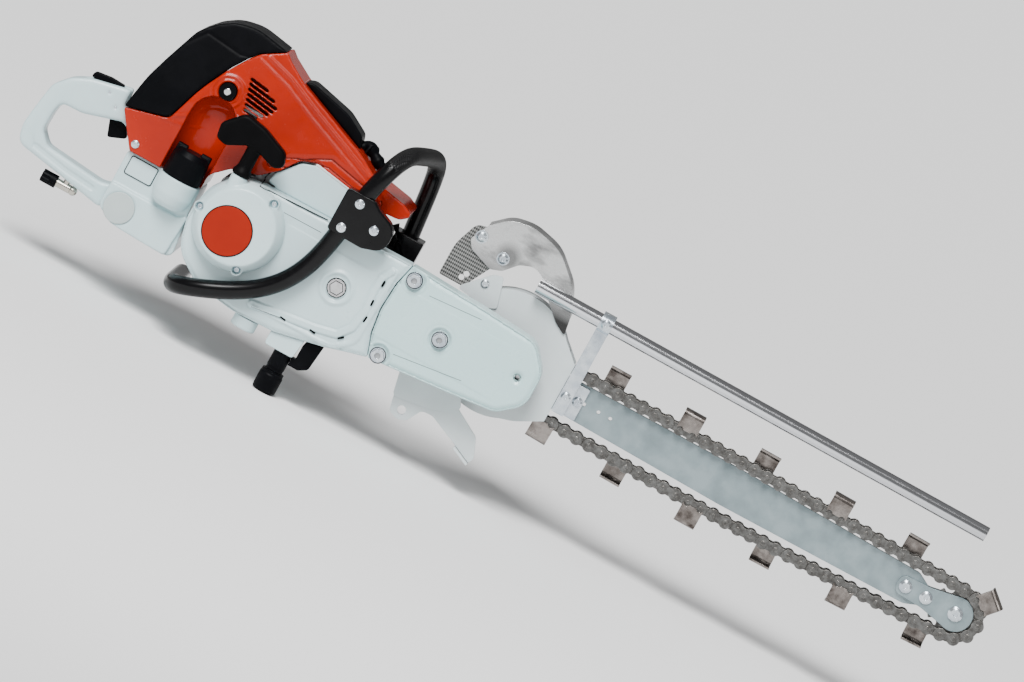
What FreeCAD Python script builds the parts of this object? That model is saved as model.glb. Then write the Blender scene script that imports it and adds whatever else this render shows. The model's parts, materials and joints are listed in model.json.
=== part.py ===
import FreeCAD, Part

import math
import os

# Hand-held chain trencher: a petrol engine unit whose cutting arm carries a bar with a digging chain.
# Working frame: x forward along the bar, y to the machine's left, z up, millimetres.
# The spindle axis is x = 0, z = 0 and the chain runs in the plane y = 0.
# Everything is moved at the end so that the origin is the bottom centre of the whole box.

V = FreeCAD.Vector

# ---- clearances and walls ----
GAP = 0.3            # between pieces that are seated on each other
SEAM = 0.8           # visible joint line between two covers
FIT = 0.05           # radial clearance of a running fit
COVER_WALL = 3.0     # plastic covers
CAST_WALL = 4.0      # cast housings

# ---- digging chain, sprockets and bar ----
PITCH = 19.05        # roller chain pitch
LINKS = 84           # links in the closed chain
CUTTER_EVERY = 6     # one cutter every so many links
DRIVE_TEETH = 12
NOSE_TEETH = 11
ROLLER_R = 5.95
PIN_R = 2.95
PLATE_R = 8.8        # half height of a link plate
PLATE_T = 2.4
INNER_GAP = 12.6     # free width between the inner plates
CUTTER_W = 30.0      # along the chain
CUTTER_TIP = 30.0    # above the pin line
CUTTER_T = 3.0
UPPER_BOW = 3.0      # how far each run stands off the straight line
LOWER_SAG = 7.0
BAR_T = 6.0
BAR_START = 72.0
BAR_TOP = 28.0
BAR_BOTTOM = 22.0
NOSE_PLATE_T = 4.0
NOSE_PLATE_R = 24.0
NOSE_PLATE_REACH = 88.0
NOSE_NECK = 13.0
NOSE_AXLE_R = 8.0
SPROCKET_T = 5.4

# ---- spindle, belt drive and cutting arm ----
ARM_LENGTH = 396.0   # crankshaft axis to spindle axis
SPINDLE_R = 10.0
BEARING_R = 21.0
BEARING_W = 12.0
HUB_R = 27.0
ARM_Y = -42.0        # inner face of the arm plate
ARM_T = 8.0
ARM_HALF = 46.0
BELT_Y = -67.0       # middle plane of the V-belt
BELT_W = 10.0
BELT_H = 8.0
CLUTCH_PULLEY_R = 22.0
DRIVEN_PULLEY_R = 40.0
GUARD_Y = -90.0      # outer face of the belt housing and belt guard
GUARD_R = 53.0
STUD_R = 4.0
NUT_FLANGE_R = 11.5
TENSIONER_X = -243.0
TENSIONER_Z = -9.0

# ---- engine ----
CRANK_X = -ARM_LENGTH
CASE_HALF_Y = 34.0
BORE_R = 28.0
CYLINDER_TOP = 138.0
CASE_TOP = 44.0
FIN_HALF = 48.0
FLYWHEEL_R = 47.0
FAN_COVER_R = 58.0
FAN_Y = 44.0
FAN_COVER_Y = 88.0

# ---- starter ----
DOME_R = 62.0
DOME_FACE_R = 51.0
DOME_Y = -118.0
REEL_Y = -102.0
REEL_R = 40.0
ROPE_WIND_R = 29.5
ROPE_R = 2.0
GRIP_Z = 61.5

# ---- handles ----
HANDLE_HALF_Y = 21.0
HANDLE_ROUND = 3.0
TUBE_R = 12.5
TUBE_WALL = 2.0
TUBE_Y = -105.0

# ---- shroud and tank ----
SHROUD_HALF_Y = 62.0
SHROUD_TOP_HALF_Y = 42.0
TANK_HALF_Y = 54.0
TANK_REAR = -575.0
TANK_FRONT = -456.0
CAP_X = -495.5
CAP_Y = -62.0
CAP_R = 27.0
CAP_Z = 13.5
CAP_TOP = 57.0
PLUG_R = 20.0

# ---- attachment sheet metal ----
CASE_SIDE_Y = 20.0   # outer half width of the sprocket housing
CASE_R = 87.0
CASE_X = -8.0
CASE_Z = 13.0
CASE_SHEET = 2.5
ROD_R = 10.3
ROD_Z = 117.0
ROD_START = -11.0
ROD_END = 672.0
STRIP_X = 93.5
STRIP_W = 18.0
LUG_X = -90.0
LUG_Z = -117.0
LUG_R = 6.0

# ---- bolts, pins and passages, as (x, z) in the side view ----
DEFLECTOR_BOLTS = ((-108.0, 137.0), (-69.0, 125.0))
BRACKET_BOLT = (-74.0, 84.0)
GUARD_NUTS = ((-157.0, 50.0), (-152.0, -61.0), (-90.0, -3.0))
STARTER_SCREWS = ((-368.0, 50.0), (-370.0, -51.0), (-453.0, 0.0))
EAR_R = 8.0
VALVE_Z = 146.0
PORT_Z = 104.0
PORT_R = 15.0
PORT_END = -549.0
MUFFLER_Y = 42.0 - GAP
TRIGGER_PIN = (-619.0, 50.0)
LOCKOUT_PIN = (-636.0, 64.0)
BOLT_Z = 3.0

# ---- hot-air slots in the hood, from the lowest up ----
VENT_ENDS = ((-466, -444), (-468, -438), (-470, -433), (-472, -429), (-474, -427), (-476, -434),
             (-478, -448))
VENT_Z = 136.0
VENT_PITCH = 6.6
VENT_HALF = 1.9
VENT_SLOPE = 8.0

# ---- hose coupling ----
SLEEVE_TOP = -150.0
SLEEVE_TRAVEL = 5.0

# ---- values that follow from the ones above ----
DRIVE_R = PITCH / (2.0 * math.sin(math.pi / DRIVE_TEETH))
NOSE_R = PITCH / (2.0 * math.sin(math.pi / NOSE_TEETH))
ARM_OUT = ARM_Y - ARM_T
SHEET_OUT = -CASE_SIDE_Y - GAP
SHEET_FACE = SHEET_OUT - CASE_SHEET
ROD_Y = SHEET_FACE - GAP - ROD_R
CLAMP_Y = GUARD_Y - GAP

nodes = {}


# ================= drawing helpers =================

def box(x0, x1, y0, y1, z0, z1):
    """Block between two corners."""
    return Part.makeBox(x1 - x0, y1 - y0, z1 - z0, V(x0, y0, z0))


def rod(start, end, radius):
    """Round bar between two points."""
    axis = V(*end) - V(*start)
    return Part.makeCylinder(radius, axis.Length, V(*start), axis)


def disc_y(x, z, radius, y0, y1):
    """Round bar along y."""
    return rod((x, min(y0, y1), z), (x, max(y0, y1), z), radius)


def ring_y(x, z, outer, inner, y0, y1):
    """Round collar along y."""
    return disc_y(x, z, outer, y0, y1).cut(disc_y(x, z, inner, y0, y1))


def hexagon_y(x, z, across, y0, y1):
    """Hexagonal bar along y, `across` its flats."""
    radius = across / math.sqrt(3.0)
    corners = [(x + radius * math.cos(math.radians(a)), z + radius * math.sin(math.radians(a)), 0.0)
               for a in range(0, 360, 60)]
    return prism_y(corners, y0, y1)


def rounded_edges(corners, place):
    """Closed outline of lines and tangent arcs. Each corner is (a, b, radius)."""
    count = len(corners)
    points = [place(a, b) for a, b, _ in corners]
    starts = []
    ends = []
    middles = []
    for i in range(count):
        here = points[i]
        before = points[i - 1] - here
        after = points[(i + 1) % count] - here
        turn = math.pi - before.getAngle(after)
        radius = corners[i][2]
        if radius == 0 or turn < 0.01:
            starts.append(here)
            ends.append(here)
            middles.append(None)
            continue
        reach = min(radius * math.tan(turn / 2.0), 0.45 * before.Length, 0.45 * after.Length)
        radius = reach / math.tan(turn / 2.0)
        before.normalize()
        after.normalize()
        middle = before + after
        middle.normalize()
        starts.append(here + before * reach)
        ends.append(here + after * reach)
        middles.append(here + middle * (radius / math.cos(turn / 2.0) - radius))
    edges = []
    for i in range(count):
        if middles[i] is not None:
            edges.append(Part.Arc(starts[i], middles[i], ends[i]).toShape())
        following = starts[(i + 1) % count]
        if (following - ends[i]).Length > 1e-6:
            edges.append(Part.makeLine(ends[i], following))
    return Part.Wire(edges)


def outline_xz(corners, y=0.0):
    """Outline in the side view."""
    return rounded_edges(corners, lambda a, b: V(a, y, b))


def prism_y(corners, y0, y1):
    """Side-view outline pushed from y0 to y1."""
    low = min(y0, y1)
    return Part.Face(outline_xz(corners, low)).extrude(V(0, abs(y1 - y0), 0))


def prism_x(corners, x0, x1):
    """Front-view outline (y, z) pushed from x0 to x1."""
    wire = rounded_edges(corners, lambda a, b: V(x0, a, b))
    return Part.Face(wire).extrude(V(x1 - x0, 0, 0))


def prism_z(corners, z0, z1):
    """Top-view outline (x, y) pushed from z0 to z1."""
    wire = rounded_edges(corners, lambda a, b: V(a, b, z0))
    return Part.Face(wire).extrude(V(0, 0, z1 - z0))


def inset_y(corners, distance, y0, y1):
    """Side-view outline shrunk by a wall, pushed from y0 to y1."""
    low = min(y0, y1)
    wire = outline_xz(corners, low).makeOffset2D(-distance)
    return Part.Face(wire).extrude(V(0, abs(y1 - y0), 0))


def spun_y(x, z, profile):
    """Solid turned about an axis along y. The profile is (radius, y) corners."""
    points = [V(x + radius, y, z) for radius, y in profile]
    face = Part.Face(Part.makePolygon(points + points[:1]))
    return face.revolve(V(x, 0, z), V(0, 1, 0), 360)


def spun_z(x, y, profile):
    """Solid turned about an axis along z. The profile is (radius, z) corners."""
    points = [V(x + radius, y, z) for radius, z in profile]
    face = Part.Face(Part.makePolygon(points + points[:1]))
    return face.revolve(V(x, y, 0), V(0, 0, 1), 360)


def joined(shapes):
    """One solid from touching shapes."""
    whole = shapes[0].multiFuse(shapes[1:]) if len(shapes) > 1 else shapes[0]
    return whole.removeSplitter()


def cut_all(shape, tools):
    """Shape less every tool."""
    for tool in tools:
        shape = shape.cut(tool)
    return shape


def soften(shape, radius, keep):
    """Round the edges that `keep` accepts."""
    return shape.makeFillet(radius, [e for e in shape.Edges if keep(e)])


def on_plane_y(y):
    """True for edges that lie in the plane y."""
    return lambda e: abs(e.BoundBox.YMin - y) < 0.01 and abs(e.BoundBox.YMax - y) < 0.01


def bent_wire(points, bend):
    """Open path of straight runs joined by tangent arcs of one bend radius."""
    vectors = [V(*p) for p in points]
    edges = []
    last = vectors[0]
    for i in range(1, len(vectors) - 1):
        here = vectors[i]
        before = vectors[i - 1] - here
        after = vectors[i + 1] - here
        turn = math.pi - before.getAngle(after)
        reach = min(bend * math.tan(turn / 2.0), 0.45 * before.Length, 0.45 * after.Length)
        radius = reach / math.tan(turn / 2.0)
        before.normalize()
        after.normalize()
        middle = before + after
        middle.normalize()
        start = here + before * reach
        end = here + after * reach
        edges.append(Part.makeLine(last, start))
        edges.append(Part.Arc(start, here + middle * (radius / math.cos(turn / 2.0) - radius),
                              end).toShape())
        last = end
    edges.append(Part.makeLine(last, vectors[-1]))
    return Part.Wire(edges)


def pipe(points, radius, bend):
    """Solid round bar along a bent path."""
    path = bent_wire(points, bend)
    start = V(*points[0])
    ring = Part.Wire(Part.makeCircle(radius, start, V(*points[1]) - start))
    return path.makePipeShell([ring], True, False)


def tube(points, radius, wall, bend):
    """Round tube along a bent path."""
    return pipe(points, radius, bend).cut(pipe(points, radius - wall, bend))


# ================= digging chain =================

def chain_curve(centre_distance):
    """The pin line as (length, place) pieces, clockwise from the top of the drive sprocket."""
    lean = math.asin((DRIVE_R - NOSE_R) / centre_distance)
    run = centre_distance * math.cos(lean)

    def upper(t):
        """Upper run, bowed away from the bar."""
        x = DRIVE_R * math.sin(lean) + t * run * math.cos(lean)
        z = DRIVE_R * math.cos(lean) - t * run * math.sin(lean)
        return V(x, 0, z + 4.0 * UPPER_BOW * t * (1.0 - t))

    def nose(t):
        """Half turn round the nose sprocket."""
        angle = math.pi / 2.0 - lean - t * (math.pi - 2.0 * lean)
        return V(centre_distance + NOSE_R * math.cos(angle), 0, NOSE_R * math.sin(angle))

    def lower(t):
        """Lower run, hanging below the bar."""
        x = centre_distance + NOSE_R * math.sin(lean) - t * run * math.cos(lean)
        z = -NOSE_R * math.cos(lean) - t * run * math.sin(lean)
        return V(x, 0, z - 4.0 * LOWER_SAG * t * (1.0 - t))

    def drive(t):
        """Half turn round the drive sprocket."""
        angle = -math.pi / 2.0 + lean - t * (math.pi + 2.0 * lean)
        return V(DRIVE_R * math.cos(angle), 0, DRIVE_R * math.sin(angle))

    return [upper, nose, lower, drive]


def walk_chain(centre_distance):
    """Pin centres one pitch apart along the curve, and how far past the start the last one is."""
    pieces = chain_curve(centre_distance)

    def place(u):
        """Point at u, where each whole number is the start of a piece."""
        u = u % 4.0
        return pieces[int(u)](u - int(u))

    pins = [place(0.0)]
    u = 0.0
    for _ in range(LINKS):
        low = u
        high = u + 0.5
        for _ in range(40):
            middle = 0.5 * (low + high)
            if (place(middle) - pins[-1]).Length < PITCH:
                low = middle
            else:
                high = middle
        u = high
        pins.append(place(u))
    return pins, u - 4.0


def closed_chain():
    """Centre distance at which the chain closes on itself, with its pin centres."""
    low = (LINKS - DRIVE_TEETH) * PITCH / 2.0 - 2.0 * PITCH
    high = low + 4.0 * PITCH
    for _ in range(40):
        middle = 0.5 * (low + high)
        if walk_chain(middle)[1] > 0:
            low = middle
        else:
            high = middle
    pins = walk_chain(high)[0]
    return high, pins[:LINKS]


CENTRES, PINS = closed_chain()
NOSE_X = CENTRES


def link_place(index):
    """Placement of a link: its middle, with local x along the link and local z outwards."""
    here = PINS[index]
    there = PINS[(index + 1) % LINKS]
    along = there - here
    angle = math.degrees(math.atan2(along.z, along.x))
    return FreeCAD.Placement((here + there) * 0.5, FreeCAD.Rotation(V(0, 1, 0), -angle))


def placed(shape, placement):
    """Copy of a shape at a placement."""
    copy = shape.copy()
    copy.Placement = placement
    return copy


def link_plate(y0, hole):
    """Waisted side plate of one link, from y0 outwards."""
    half = PITCH / 2.0
    waist = 0.68 * PLATE_R
    eyes = [disc_y(-half, 0, PLATE_R, y0, y0 + PLATE_T), disc_y(half, 0, PLATE_R, y0, y0 + PLATE_T)]
    web = box(-half, half, y0, y0 + PLATE_T, -waist, waist)
    plate = joined(eyes + [web])
    return cut_all(plate, [disc_y(x, 0, hole, y0, y0 + PLATE_T) for x in (-half, half)])


def mirrored_y(shape):
    """Mirror image on the other side of y = 0."""
    return shape.mirror(V(0, 0, 0), V(0, 1, 0))


def inner_link():
    """Two side plates and two rollers."""
    plate = link_plate(INNER_GAP / 2.0, PIN_R + FIT)
    half_roller = INNER_GAP / 2.0 - 0.1
    rollers = [ring_y(x, 0, ROLLER_R, PIN_R + FIT, -half_roller, half_roller)
               for x in (-PITCH / 2.0, PITCH / 2.0)]
    return [plate, mirrored_y(plate)] + rollers


def outer_link():
    """Two side plates riveted to two pins: one rigid piece."""
    start = INNER_GAP / 2.0 + PLATE_T + 0.15
    plate = link_plate(start, PIN_R - 0.01)
    reach = start + PLATE_T + 1.0
    pins = [disc_y(x, 0, PIN_R, -reach, reach) for x in (-PITCH / 2.0, PITCH / 2.0)]
    return [joined([plate, mirrored_y(plate)] + pins)]


def cutter():
    """Cup cutter: a foot on the outer plate, rising and curling over the chain."""
    foot = INNER_GAP / 2.0 + 2.0 * PLATE_T + 0.3
    half = CUTTER_W / 2.0
    curl = 8.0
    outer = foot + CUTTER_T
    crown = CUTTER_TIP - curl
    web = box(-half, half, foot, outer, PLATE_R * 0.2, crown)
    bend = disc_x(foot - curl + CUTTER_T, crown, curl, half)
    bend = bend.cut(disc_x(foot - curl + CUTTER_T, crown, curl - CUTTER_T, half))
    keep = box(-half, half, foot - curl + CUTTER_T, outer, crown, CUTTER_TIP)
    lip = box(-half, half, foot - curl - 4.0, foot - curl + CUTTER_T, CUTTER_TIP - CUTTER_T, CUTTER_TIP)
    body = joined([web, bend.common(keep), lip])
    notch = PLATE_R * 0.55
    for x in (-PITCH / 2.0, PITCH / 2.0):
        body = body.cut(disc_y(x, 0, notch, foot - 1.0, outer + 1.0))
    return body


def disc_x(y, z, radius, half):
    """Round bar along x, centred on x = 0."""
    return rod((-half, y, z), (half, y, z), radius)


def build_chain():
    """Every link in its place on the pin line."""
    inner = []
    outer = []
    left = []
    right = []
    inner_parts = inner_link()
    outer_parts = outer_link()
    left_cutter = cutter()
    right_cutter = mirrored_y(left_cutter)
    for index in range(LINKS):
        place = link_place(index)
        if index % 2 == 0:
            inner += [placed(part, place) for part in inner_parts]
            continue
        outer += [placed(part, place) for part in outer_parts]
        if index % CUTTER_EVERY == 1:
            side = (index // CUTTER_EVERY) % 2
            target = left if side else right
            target.append(placed(left_cutter if side else right_cutter, place))
    nodes["chain_inner_links"] = Part.makeCompound(inner)
    nodes["chain_outer_links"] = Part.makeCompound(outer)
    nodes["cutters_left"] = Part.makeCompound(left)
    nodes["cutters_right"] = Part.makeCompound(right)


def sprocket(x, teeth, pitch_r, first_angle, bore):
    """Toothed wheel whose gaps seat the rollers, the first gap at first_angle."""
    tip = pitch_r + 0.35 * PITCH / 2.0
    half = SPROCKET_T / 2.0
    wheel = disc_y(x, 0, tip, -half, half)
    seat = ROLLER_R + 0.45
    for i in range(teeth):
        angle = first_angle + i * 360.0 / teeth
        gap = prism_y([(pitch_r, -seat, 0), (tip + 4, -seat - 3.4, 0), (tip + 4, seat + 3.4, 0),
                       (pitch_r, seat, 0)], -half, half)
        gap = gap.fuse(disc_y(pitch_r, 0, seat, -half, half))
        gap.rotate(V(0, 0, 0), V(0, 1, 0), -angle)
        gap.translate(V(x, 0, 0))
        wheel = wheel.cut(gap)
    return wheel.cut(disc_y(x, 0, bore, -half, half))


def gap_angle(centre_x):
    """Angle of a pin that lies on the sprocket at centre_x."""
    nearest = min(PINS, key=lambda p: abs((p - V(centre_x, 0, 0)).Length
                                          - (DRIVE_R if centre_x == 0 else NOSE_R)))
    offset = nearest - V(centre_x, 0, 0)
    return math.degrees(math.atan2(offset.z, offset.x))


def build_sprockets():
    """Drive sprocket with its hub on the spindle, and the nose sprocket on its bush."""
    drive = sprocket(0.0, DRIVE_TEETH, DRIVE_R, gap_angle(0.0), SPINDLE_R + FIT)
    hub = ring_y(0, 0, 19.0, SPINDLE_R + FIT, -CASE_SIDE_Y + CASE_SHEET + 1.0, -SPROCKET_T / 2.0)
    nodes["drive_sprocket"] = joined([drive, hub])
    nodes["nose_sprocket"] = sprocket(NOSE_X, NOSE_TEETH, NOSE_R, gap_angle(NOSE_X), NOSE_AXLE_R + FIT)


# ================= bar and nose =================

BAR_END = NOSE_X - NOSE_R - 12.0
NOSE_START = NOSE_X - NOSE_PLATE_REACH
NOSE_SCREWS = (NOSE_START + 12.0, NOSE_START + 43.0)
BAR_BOLTS = (STRIP_X, STRIP_X + 17.0)


def build_bar():
    """Flat guide bar, open at its rear end, with the nose plates on both sides of its tip."""
    corners = [(BAR_START, -BAR_BOTTOM, 6), (BAR_START, BAR_TOP, 6), (0.5 * NOSE_X, BAR_TOP + 2, 300),
               (BAR_END - 22, BAR_TOP - 3, 14), (BAR_END, 13, 5), (BAR_END, -13, 5),
               (BAR_END - 22, -BAR_BOTTOM, 14), (0.5 * NOSE_X, -BAR_BOTTOM - 4, 300)]
    bar = prism_y(corners, -BAR_T / 2.0, BAR_T / 2.0)
    lightening = (120.0, 142.0, 160.0)
    holes = [disc_y(x, 4.0, 2.6, -BAR_T, BAR_T) for x in lightening]
    holes += [disc_y(x, BOLT_Z, 4.0 + FIT, -BAR_T, BAR_T) for x in BAR_BOLTS]
    holes += [disc_y(x, 0, 4.0 + FIT, -BAR_T, BAR_T) for x in NOSE_SCREWS]
    nodes["guide_bar"] = cut_all(bar, holes)

    inside = BAR_T / 2.0 + 0.1
    outside = inside + NOSE_PLATE_T
    plate = prism_y([(NOSE_START, -NOSE_NECK, 10), (NOSE_START, NOSE_NECK, 10),
                     (NOSE_X - 45, NOSE_NECK + 2, 40),
                     (NOSE_X, NOSE_PLATE_R, 0.5), (NOSE_X, -NOSE_PLATE_R, 0.5),
                     (NOSE_X - 45, -NOSE_NECK - 2, 40)], inside, outside)
    plate = joined([plate, disc_y(NOSE_X, 0, NOSE_PLATE_R, inside, outside)])
    plate = plate.cut(disc_y(NOSE_X, 0, NOSE_AXLE_R + FIT, inside, outside))
    plate = cut_all(plate, [disc_y(x, 0, 4.0 + FIT, inside, outside) for x in NOSE_SCREWS])
    nodes["nose_plates"] = Part.makeCompound([plate, mirrored_y(plate)])

    head = outside + GAP
    fasteners = []
    for x in NOSE_SCREWS:
        fasteners.append(joined([disc_y(x, 0, 4.0, -head, head), domed_head(x, 0, 9.0, -head, -1),
                                 hexagon_y(x, 0, 13.0, head, head + 5.0)]))
    nodes["nose_screws"] = Part.makeCompound(fasteners)
    axle = joined([disc_y(NOSE_X, 0, NOSE_AXLE_R, -head, head), domed_head(NOSE_X, 0, 10.5, -head, -1),
                   domed_head(NOSE_X, 0, 10.5, head, 1)])
    nodes["nose_axle"] = axle

    clamp_in = BAR_T / 2.0 + GAP
    clamp_out = clamp_in + 4.0
    plates = []
    for side in (-1, 1):
        half = prism_y([(STRIP_X - 9, -22, 2), (STRIP_X - 9, 25, 2), (STRIP_X + 25, 25, 2),
                        (STRIP_X + 25, -22, 2)], side * clamp_in, side * clamp_out)
        plates.append(cut_all(half, [disc_y(x, BOLT_Z, 4.0 + FIT, -9, 9) for x in BAR_BOLTS]))
    nodes["bar_clamp_plates"] = Part.makeCompound(plates)


def domed_head(x, z, radius, y, direction):
    """Round screw head with a sloping rim, growing from y in one direction."""
    rise = 0.45 * radius
    return spun_y(x, z, [(0, y), (radius, y), (radius, y + direction * 0.35 * rise),
                         (0.62 * radius, y + direction * rise), (0.3 * radius, y + direction * rise),
                         (0.3 * radius, y + direction * 0.6 * rise), (0, y + direction * 0.6 * rise)])


def socket_screw(x, z, radius, y, depth):
    """Screw whose head sits on y and faces the right side, shank `depth` long."""
    head = domed_head(x, z, radius, y, -1)
    return joined([head, disc_y(x, z, 0.45 * radius, y, y + depth)])


# ================= sprocket housing and attachment sheet metal =================

def case_solid(shrink, y0, y1):
    """Housing body: a disc with a throat that reaches forward over the start of the bar."""
    radius = CASE_R - shrink
    disc = disc_y(CASE_X, CASE_Z, radius, y0, y1)
    throat = prism_y([(CASE_X + 20, CASE_Z - radius * 0.965, 0), (CASE_X + 20, CASE_Z + radius * 0.965, 0),
                      (CASE_X + 62, CASE_Z + 60 - shrink, 60), (CASE_X + 92, 46 - shrink, 0),
                      (CASE_X + 92, -40 + shrink, 0), (CASE_X + 56, -60 + shrink, 60)], y0, y1)
    return joined([disc, throat])


def build_case():
    """Sprocket housing: two sheet sides with a rim, open towards the chain."""
    outer = case_solid(0.0, -CASE_SIDE_Y, CASE_SIDE_Y)
    inner = case_solid(CASE_SHEET, -CASE_SIDE_Y + CASE_SHEET, CASE_SIDE_Y - CASE_SHEET)
    mouth = box(CASE_X + 56, CASE_X + 120, -CASE_SIDE_Y + CASE_SHEET, CASE_SIDE_Y - CASE_SHEET, -60, 60)
    case = cut_all(outer, [inner, mouth, disc_y(0, 0, SPINDLE_R + 2.0, -30, 0),
                           disc_y(0, 0, SPINDLE_R + 8.0, 0, 30)])
    nodes["housing_bolts"] = Part.makeCompound(
        [joined([hexagon_y(x, z, 13.0, CASE_SIDE_Y + GAP, CASE_SIDE_Y + GAP + 5.5),
                 disc_y(x, z, 3.9, CASE_SIDE_Y - CASE_SHEET - 6, CASE_SIDE_Y + 1)])
         for x, z in ((-60, 55), (-60, -30))])
    holes = [disc_y(x, z, 4.0, 0, 30) for x, z in ((-60, 55), (-60, -30))]
    nodes["sprocket_housing"] = cut_all(case, holes)


def build_deflector():
    """Curved soil deflector of stainless sheet, with a flap hung behind it."""
    face = SHEET_OUT - CASE_SHEET
    crescent = [(-120, 128, 6), (-107, 155, 40), (-84, 176, 40), (-52, 182, 60), (-8, 172, 60),
                (32, 136, 60), (48, 98, 30), (52, 74, 2), (34, 84, 20), (12, 104, 30), (-6, 126, 12),
                (-26, 136, 20), (-46, 128, 16), (-62, 110, 12), (-78, 104, 10), (-112, 116, 10)]
    web = prism_y(crescent, face, SHEET_OUT)
    roof_out = prism_y([(-107, 155, 0), (-84, 176, 40), (-52, 182, 60), (-8, 172, 60), (32, 136, 60),
                        (48, 98, 0), (45.8, 97, 0), (30, 134, 57), (-9, 169.6, 57), (-52, 179.4, 57),
                        (-82.6, 173.8, 37), (-105, 153.4, 0)], face, 34.0)
    sheet = joined([web, roof_out])
    holes = [disc_y(x, z, 4.0 + FIT, -40, 0) for x, z in DEFLECTOR_BOLTS]
    nodes["deflector"] = cut_all(sheet, holes)

    flap_front = SHEET_OUT + GAP
    flap = prism_y([(-135, 66, 3), (-135, 112, 60), (-122, 148, 30), (-106, 152, 6), (-62, 128, 8),
                    (-78, 104, 20), (-92, 78, 20), (-96, 66, 3)], flap_front, flap_front + 3.0)
    oval = joined([disc_y(-106, 76, 4.0, -40, 0), disc_y(-102, 83, 4.0, -40, 0)])
    holes = [disc_y(x, z, 4.0 + FIT, -40, 0) for x, z in DEFLECTOR_BOLTS]
    flap = cut_all(flap, holes + [oval])
    nodes["deflector_flap"] = flap

    bolts = []
    for x, z in DEFLECTOR_BOLTS:
        washer = ring_y(x, z, 9.0, 4.0 + FIT, face - GAP - 1.6, face - GAP)
        head = joined([domed_head(x, z, 7.0, face - GAP - 1.9, -1),
                       disc_y(x, z, 4.0, face - GAP - 1.9, flap_front + 10.0),
                       hexagon_y(x, z, 13.0, flap_front + 3.3, flap_front + 9.5)])
        bolts += [washer, head]
    nodes["deflector_bolts"] = Part.makeCompound(bolts)

    stay = prism_y([(-106, 62, 4), (-70, 100, 6), (-56, 104, 4), (-44, 62, 4), (-58, 56, 4)],
                   face, SHEET_OUT)
    stay = stay.cut(disc_y(BRACKET_BOLT[0], BRACKET_BOLT[1], 3.0 + FIT, -40, 0))
    nodes["deflector_stay"] = stay
    nodes["stay_bolt"] = joined([domed_head(*BRACKET_BOLT, 6.0, face - GAP, -1),
                                 disc_y(*BRACKET_BOLT, 3.0, face - GAP, SHEET_OUT + 2.0)])


def build_guard_rod():
    """Polished rod above the chain, held in the sleeve of a strap that bolts to the bar."""
    nodes["guard_rod"] = ring_along_x(ROD_START, ROD_END, ROD_Y, ROD_Z, ROD_R, ROD_R - 2.5)
    half = STRIP_W / 2.0
    low = STRIP_X - half
    high = STRIP_X + half
    sleeve_r = ROD_R + 3.0
    strap_out = SHEET_OUT - CASE_SHEET
    strap = prism_y([(low, -22, 2), (low, ROD_Z - 8, 0), (high, ROD_Z - 8, 0), (high, -22, 2)],
                    strap_out, SHEET_OUT)
    sleeve = rod((low, ROD_Y, ROD_Z), (high, ROD_Y, ROD_Z), sleeve_r)
    block = box(low, high, ROD_Y - 2, SHEET_OUT, ROD_Z - 10, ROD_Z + sleeve_r)
    bracket = joined([strap, sleeve, block])
    spacer = ring_y(STRIP_X, BOLT_Z, 8.0, 4.0 + FIT, SHEET_OUT, -BAR_T / 2.0 - 4.0 - 2 * GAP)
    bracket = joined([bracket, spacer])
    tools = [rod((low - 1, ROD_Y, ROD_Z), (high + 1, ROD_Y, ROD_Z), ROD_R + FIT),
             disc_y(STRIP_X, BOLT_Z, 4.0 + FIT, -60, 0),
             disc_y(STRIP_X, ROD_Z, 3.0 + FIT, ROD_Y - 40, ROD_Y)]
    nodes["rod_bracket"] = cut_all(bracket, tools)
    tip = ROD_Y - ROD_R - GAP
    head = ROD_Y - sleeve_r - GAP
    nodes["rod_clamp_screw"] = joined([disc_y(STRIP_X, ROD_Z, 3.0, head, tip),
                                       domed_head(STRIP_X, ROD_Z, 7.0, head, -1)])
    bolts = []
    near = BAR_T / 2.0 + 4.0 + 2 * GAP
    heads = (strap_out - GAP, -near)
    for x, head_y in zip(BAR_BOLTS, heads):
        shank = disc_y(x, BOLT_Z, 4.0, head_y, near)
        bolts.append(joined([shank, domed_head(x, BOLT_Z, 7.0, head_y, -1),
                             hexagon_y(x, BOLT_Z, 13, near, near + 4)]))
    nodes["bar_bolts"] = Part.makeCompound(bolts)


def ring_along_x(x0, x1, y, z, outer, inner):
    """Tube along x."""
    return rod((x0, y, z), (x1, y, z), outer).cut(rod((x0, y, z), (x1, y, z), inner))


def build_skid():
    """Plate under the arm, skid bracket with its lug, and the wear edge at its tip."""
    y0 = ARM_Y + GAP
    plate = prism_y([(-124, -40, 3), (-110, -105, 6), (-60, -98, 20), (-30, -88, 10), (-22, -76, 4),
                     (-40, -40, 3)], y0, y0 + 3.0)
    bolts = [disc_y(x, -47.0, 3.0 + FIT, -60, 0) for x in (-110.0, -56.0)]
    nodes["lower_plate"] = cut_all(plate, bolts)
    y1 = y0 + 3.0 + GAP
    arm = prism_y([(-116, -72, 4), (-104, -126, 10), (LUG_X, LUG_Z - 14, 10),
                   (-77, -126, 10), (-66, -105, 10), (-50, -104, 10), (-6, -123, 3), (22, -136, 1),
                   (26, -128, 8), (15, -101, 12), (-22, -80, 12), (-36, -66, 3)], y1, y1 + 4.0)
    arm = arm.cut(disc_y(LUG_X, LUG_Z, LUG_R, -60, 0))
    nodes["skid_bracket"] = arm
    edge = prism_y([(-4, -124.6, 0), (22, -136.8, 0), (20.6, -140.2, 0), (-5.4, -128, 0)], y1 - 6.0,
                   y1 + 10.0)
    nodes["wear_edge"] = edge
    nodes["skid_bolts"] = Part.makeCompound(
        [joined([disc_y(x, -47.0, 3.0, ARM_Y - 6.0, y0 + 3.0),
                 hexagon_y(x, -47.0, 10.0, y0 + 3.0 + GAP, y0 + 8.0),
                 disc_y(x, -47.0, 3.0, y0 + 3.0, y0 + 3.0 + GAP)]) for x in (-110.0, -56.0)])


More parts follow.
